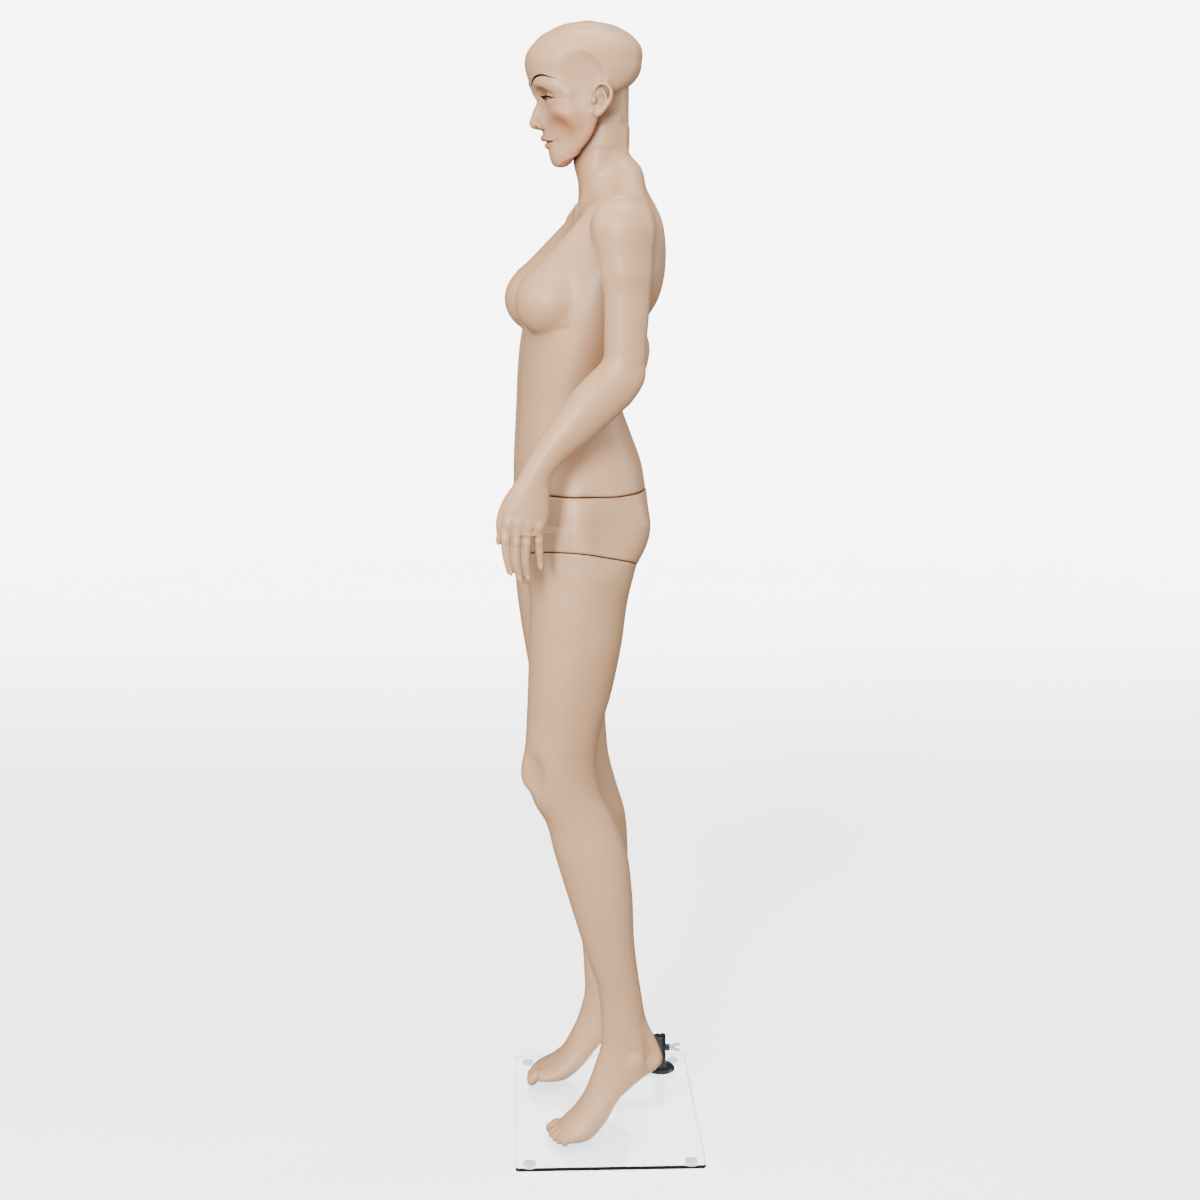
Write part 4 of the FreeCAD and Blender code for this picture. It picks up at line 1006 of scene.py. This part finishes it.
def glass():
    look = Look("clear_glass")
    look.colour(look.blend(look.noise(3.0, 1.0), (0.95, 0.985, 0.99), (0.97, 0.99, 0.995)))
    look.rough(look.noise(40.0), 0.0, 0.03)
    depth = look.node("VolumeAbsorption", Color=(0.42, 0.74, 0.74, 1), Density=1.2)
    look.link(depth.outputs["Volume"], look.tree.nodes["Material Output"].inputs["Volume"])
    look.set(Transmission_Weight=1.0, IOR=1.52)
    return look.material


def steel():
    look = Look("steel")
    grain = look.noise(120.0, 4.0, (1, 1, 14))
    look.colour(look.blend(grain, (0.46, 0.46, 0.46), (0.66, 0.655, 0.64)))
    look.rough(grain, 0.22, 0.42)
    look.bump(grain, 0.08, 0.0003)
    look.set(Metallic=1.0)
    return look.material


# ---- the object ----------------------------------------------------------------------------
LOOKS = {
    "body_shell": skin("body_shell"),
    "head_shell": skin("head_shell", True),
    "clear_glass": glass(),
    # The pads glow faintly through their emission: painted light that keeps them pale under the glass.
    "pad_rubber": finish("pad_rubber", (0.86, 0.87, 0.88), (0.93, 0.94, 0.95), 200.0, 150.0, (0.3, 0.45),
                         Emission_Color=(0.9, 0.95, 1.0, 1), Emission_Strength=0.6, IOR=1.42),
    "black_enamel": finish("black_enamel", (0.008, 0.008, 0.009), (0.016, 0.016, 0.018), 60.0, 160.0,
                           (0.30, 0.42), (0.12, 0.0006), Coat_Weight=0.15, Coat_Roughness=0.2, IOR=1.4),
    "steel": steel(),
    "nylon": finish("nylon", (0.70, 0.68, 0.62), (0.80, 0.78, 0.72), 80.0, 200.0, (0.3, 0.42),
                    Subsurface_Weight=0.1, Subsurface_Radius=(0.003, 0.003, 0.002)),
    "eye_white": plain_paint("eye_white", (0.30, 0.21, 0.16), (0.36, 0.26, 0.20), 0.4, 0.1),
    "iris": plain_paint("iris", (0.018, 0.009, 0.005), (0.05, 0.026, 0.015), 0.3, 0.2),
    "pupil": plain_paint("pupil", (0.006, 0.005, 0.005), (0.012, 0.01, 0.01), 0.2, 0.5),
    # Painted highlight: colour of the glints on the eyes.
    "painted_eye_glint": plain_paint("painted_eye_glint", (0.75, 0.75, 0.75), (0.9, 0.9, 0.9), 0.2),
    "lash": plain_paint("lash", (0.010, 0.005, 0.003), (0.018, 0.009, 0.006), 0.8),
}

for part in frame["record"]["subparts"]:
    node = frame["nodes"][part["node"]]
    node.data.materials.clear()
    node.data.materials.append(LOOKS[part["material_slot"]])

body_piece("hips", hips(), "lower_body", ["hips_shell"], LOOKS["body_shell"])
body_piece("left_leg", leg(1), "lower_body", ["left_leg_shell"], LOOKS["body_shell"])
body_piece("right_leg", leg(-1), "lower_body", ["right_leg_shell"], LOOKS["body_shell"])
body_piece("torso_skin", torso(), "torso", ["torso_shell"], LOOKS["body_shell"])

arm_points, arm_quads = arm().surface()
left = make_mesh("left_arm_skin", placed(arm_points), arm_quads)
finish_piece(left, "left_arm", ["left_arm_shell"], LOOKS["body_shell"])
swung = arm_points * (-1, 1, 1) - (-SHOULDER[0], SHOULDER[1], SHOULDER[2])
cosine, sine = math.cos(RIGHT_ARM_BACK), math.sin(RIGHT_ARM_BACK)
swung = np.stack([swung[:, 0], swung[:, 1] * cosine - swung[:, 2] * sine,
                  swung[:, 1] * sine + swung[:, 2] * cosine], axis=1)
swung += (-SHOULDER[0], SHOULDER[1], SHOULDER[2])
share = np.clip((swung[:, 2] - 1350) / 90, 0, 1)
share = share * share * (3 - 2 * share)
squeeze = 1 - FAR_SHOULDER_RADIUS / SHOULDER_RADIUS
swung[:, 1] += share * (FAR_SHOULDER_BACK - squeeze * (swung[:, 1] - SHOULDER[1]))
right = make_mesh("right_arm_skin", placed(swung), arm_quads[:, ::-1])
finish_piece(right, "right_arm", ["right_arm_shell"], LOOKS["body_shell"])

head_block = head_form()
head_points, head_quads = head_block.surface()
head = make_mesh("head_skin", placed(head_points), head_quads)
tint = head.data.attributes.new("tint", "FLOAT_COLOR", "POINT")
tint.data.foreach_set("color", head_tint(head_points).ravel())
finish_piece(head, "head", ["head_shell"], LOOKS["head_shell"])
paint_face(head_block, LOOKS)


# ---- floor, light and camera ---------------------------------------------------------------
def smooth_range(tree, source, given, wanted):
    """Output that goes smoothly from one wanted value to the other as the source crosses the given span."""
    share = tree.nodes.new("ShaderNodeMapRange")
    share.interpolation_type = "SMOOTHSTEP"
    names = ("From Min", "From Max", "To Min", "To Max")
    for name, value in zip(names, given + wanted):
        share.inputs[name].default_value = value
    tree.links.new(source, share.inputs["Value"])
    return share.outputs["Result"]


def studio_sweep():
    """Pale floor that curves up into a bright wall. Only the camera and the glass see it, so that its
    light doesn't wash out the figure."""
    look = Look("studio_paper")
    paper = look.blend(look.noise(2.0, 2.0), (0.90, 0.90, 0.90), (0.93, 0.93, 0.93))
    look.rough(look.noise(30.0), 0.75, 0.85)
    where = look.node("TexCoord")
    parts = look.node("SeparateXYZ")
    look.link(where.outputs["Object"], parts.inputs["Vector"])
    glow = smooth_range(look.tree, parts.outputs["X"], (-1.2, -4.5), (2.2, 6.0))
    look.link(glow, look.shader.inputs["Emission Strength"])
    look.set(Emission_Color=(1, 1, 1, 1))
    dimmed = look.node("Mix", data_type="RGBA")
    dimmed.inputs["B"].default_value = (0.30, 0.30, 0.30, 1)
    look.link(smooth_range(look.tree, parts.outputs["X"], (2.5, 6.0), (0.0, 1.0)), dimmed.inputs["Factor"])
    look.link(paper, dimmed.inputs["A"])
    look.colour(dimmed.outputs["Result"])
    floor_radius, bend_radius, wall_top = 5.0, 2.0, 9.0
    bend = [(floor_radius + bend_radius * math.sin(a), bend_radius - bend_radius * math.cos(a))
            for a in np.linspace(0, math.pi / 2, 16)]
    line = [(0.0, 0.0)] + bend + [(floor_radius + bend_radius, wall_top)]
    turns = np.linspace(0, 2 * math.pi, 97)[:-1]
    points = [(r * math.cos(t), r * math.sin(t), z) for r, z in line for t in turns]
    count = len(turns)
    faces = []
    for i in range(len(line) - 1):
        for j in range(count):
            start, end = i * count, (j + 1) % count
            faces.append((start + j, start + end, start + count + end, start + count + j))
    mesh = bpy.data.meshes.new("studio_sweep")
    mesh.from_pydata(points, [], faces)
    mesh.materials.append(look.material)
    mesh.shade_smooth()
    sweep_piece = bpy.data.objects.new("studio_sweep", mesh)
    bpy.context.scene.collection.objects.link(sweep_piece)
    sweep_piece.visible_diffuse = False
    sweep_piece.visible_glossy = False
    sweep_piece.visible_shadow = False


def studio_air():
    """Soft light all round, strong from the viewed side and weak from behind and below."""
    world = bpy.data.worlds.new("studio")
    world.use_nodes = True
    tree = world.node_tree
    where = tree.nodes.new("ShaderNodeTexCoord")
    parts = tree.nodes.new("ShaderNodeSeparateXYZ")
    tree.links.new(where.outputs["Generated"], parts.inputs["Vector"])
    both = tree.nodes.new("ShaderNodeMath")
    both.operation = "MULTIPLY"
    tree.links.new(smooth_range(tree, parts.outputs["X"], (-0.5, 0.9), (0.26, 1.75)), both.inputs[0])
    tree.links.new(smooth_range(tree, parts.outputs["Z"], (-0.5, 0.4), (0.35, 1.0)), both.inputs[1])
    tree.links.new(both.outputs["Value"], tree.nodes["Background"].inputs["Strength"])
    tree.nodes["Background"].inputs["Color"].default_value = (1.0, 0.99, 0.98, 1)
    bpy.context.scene.world = world


def area_light(name, place, target, size, power, tint=(1, 1, 1)):
    data = bpy.data.lights.new(name, "AREA")
    data.shape = "RECTANGLE"
    data.size, data.size_y = size
    data.energy = power
    data.color = tint
    lamp = bpy.data.objects.new(name, data)
    lamp.location = place
    lamp.rotation_euler = (Vector(target) - Vector(place)).to_track_quat("-Z", "Y").to_euler()
    lamp.visible_camera = False
    bpy.context.scene.collection.objects.link(lamp)


studio_sweep()
studio_air()
area_light("camera_soft", (3.2, -1.3, 2.3), (0, 0, 1.0), (0.7, 1.8), 190, (1, 0.99, 0.97))
area_light("front_key", (1.2, -3.2, 2.7), (0, 0, 1.1), (0.9, 1.6), 40, (1, 0.985, 0.96))
area_light("back_strip", (-0.6, 3.2, 2.0), (0, 0, 1.1), (0.7, 2.2), 35)
area_light("top_soft", (0.2, 0.2, 4.4), (0, 0, 1.0), (1.6, 1.6), 100)

CAMERA_PLACE = (2.8243, -0.1425, 1.4549)
CAMERA_YAW = 0.04577
CAMERA_PITCH = 0.20181
CAMERA_ROLL = 0.00533
camera_data = bpy.data.cameras.new("photo")
camera_data.lens = 54.8
camera = bpy.data.objects.new("photo", camera_data)
camera.location = CAMERA_PLACE
level_share = math.cos(CAMERA_PITCH)
forward = Vector((-math.cos(CAMERA_YAW) * level_share, math.sin(CAMERA_YAW) * level_share,
                  -math.sin(CAMERA_PITCH)))
rolled = forward.to_track_quat("-Z", "Y") @ Quaternion((0, 0, 1), CAMERA_ROLL)
camera.rotation_euler = rolled.to_euler()
bpy.context.scene.collection.objects.link(camera)
bpy.context.scene.camera = camera
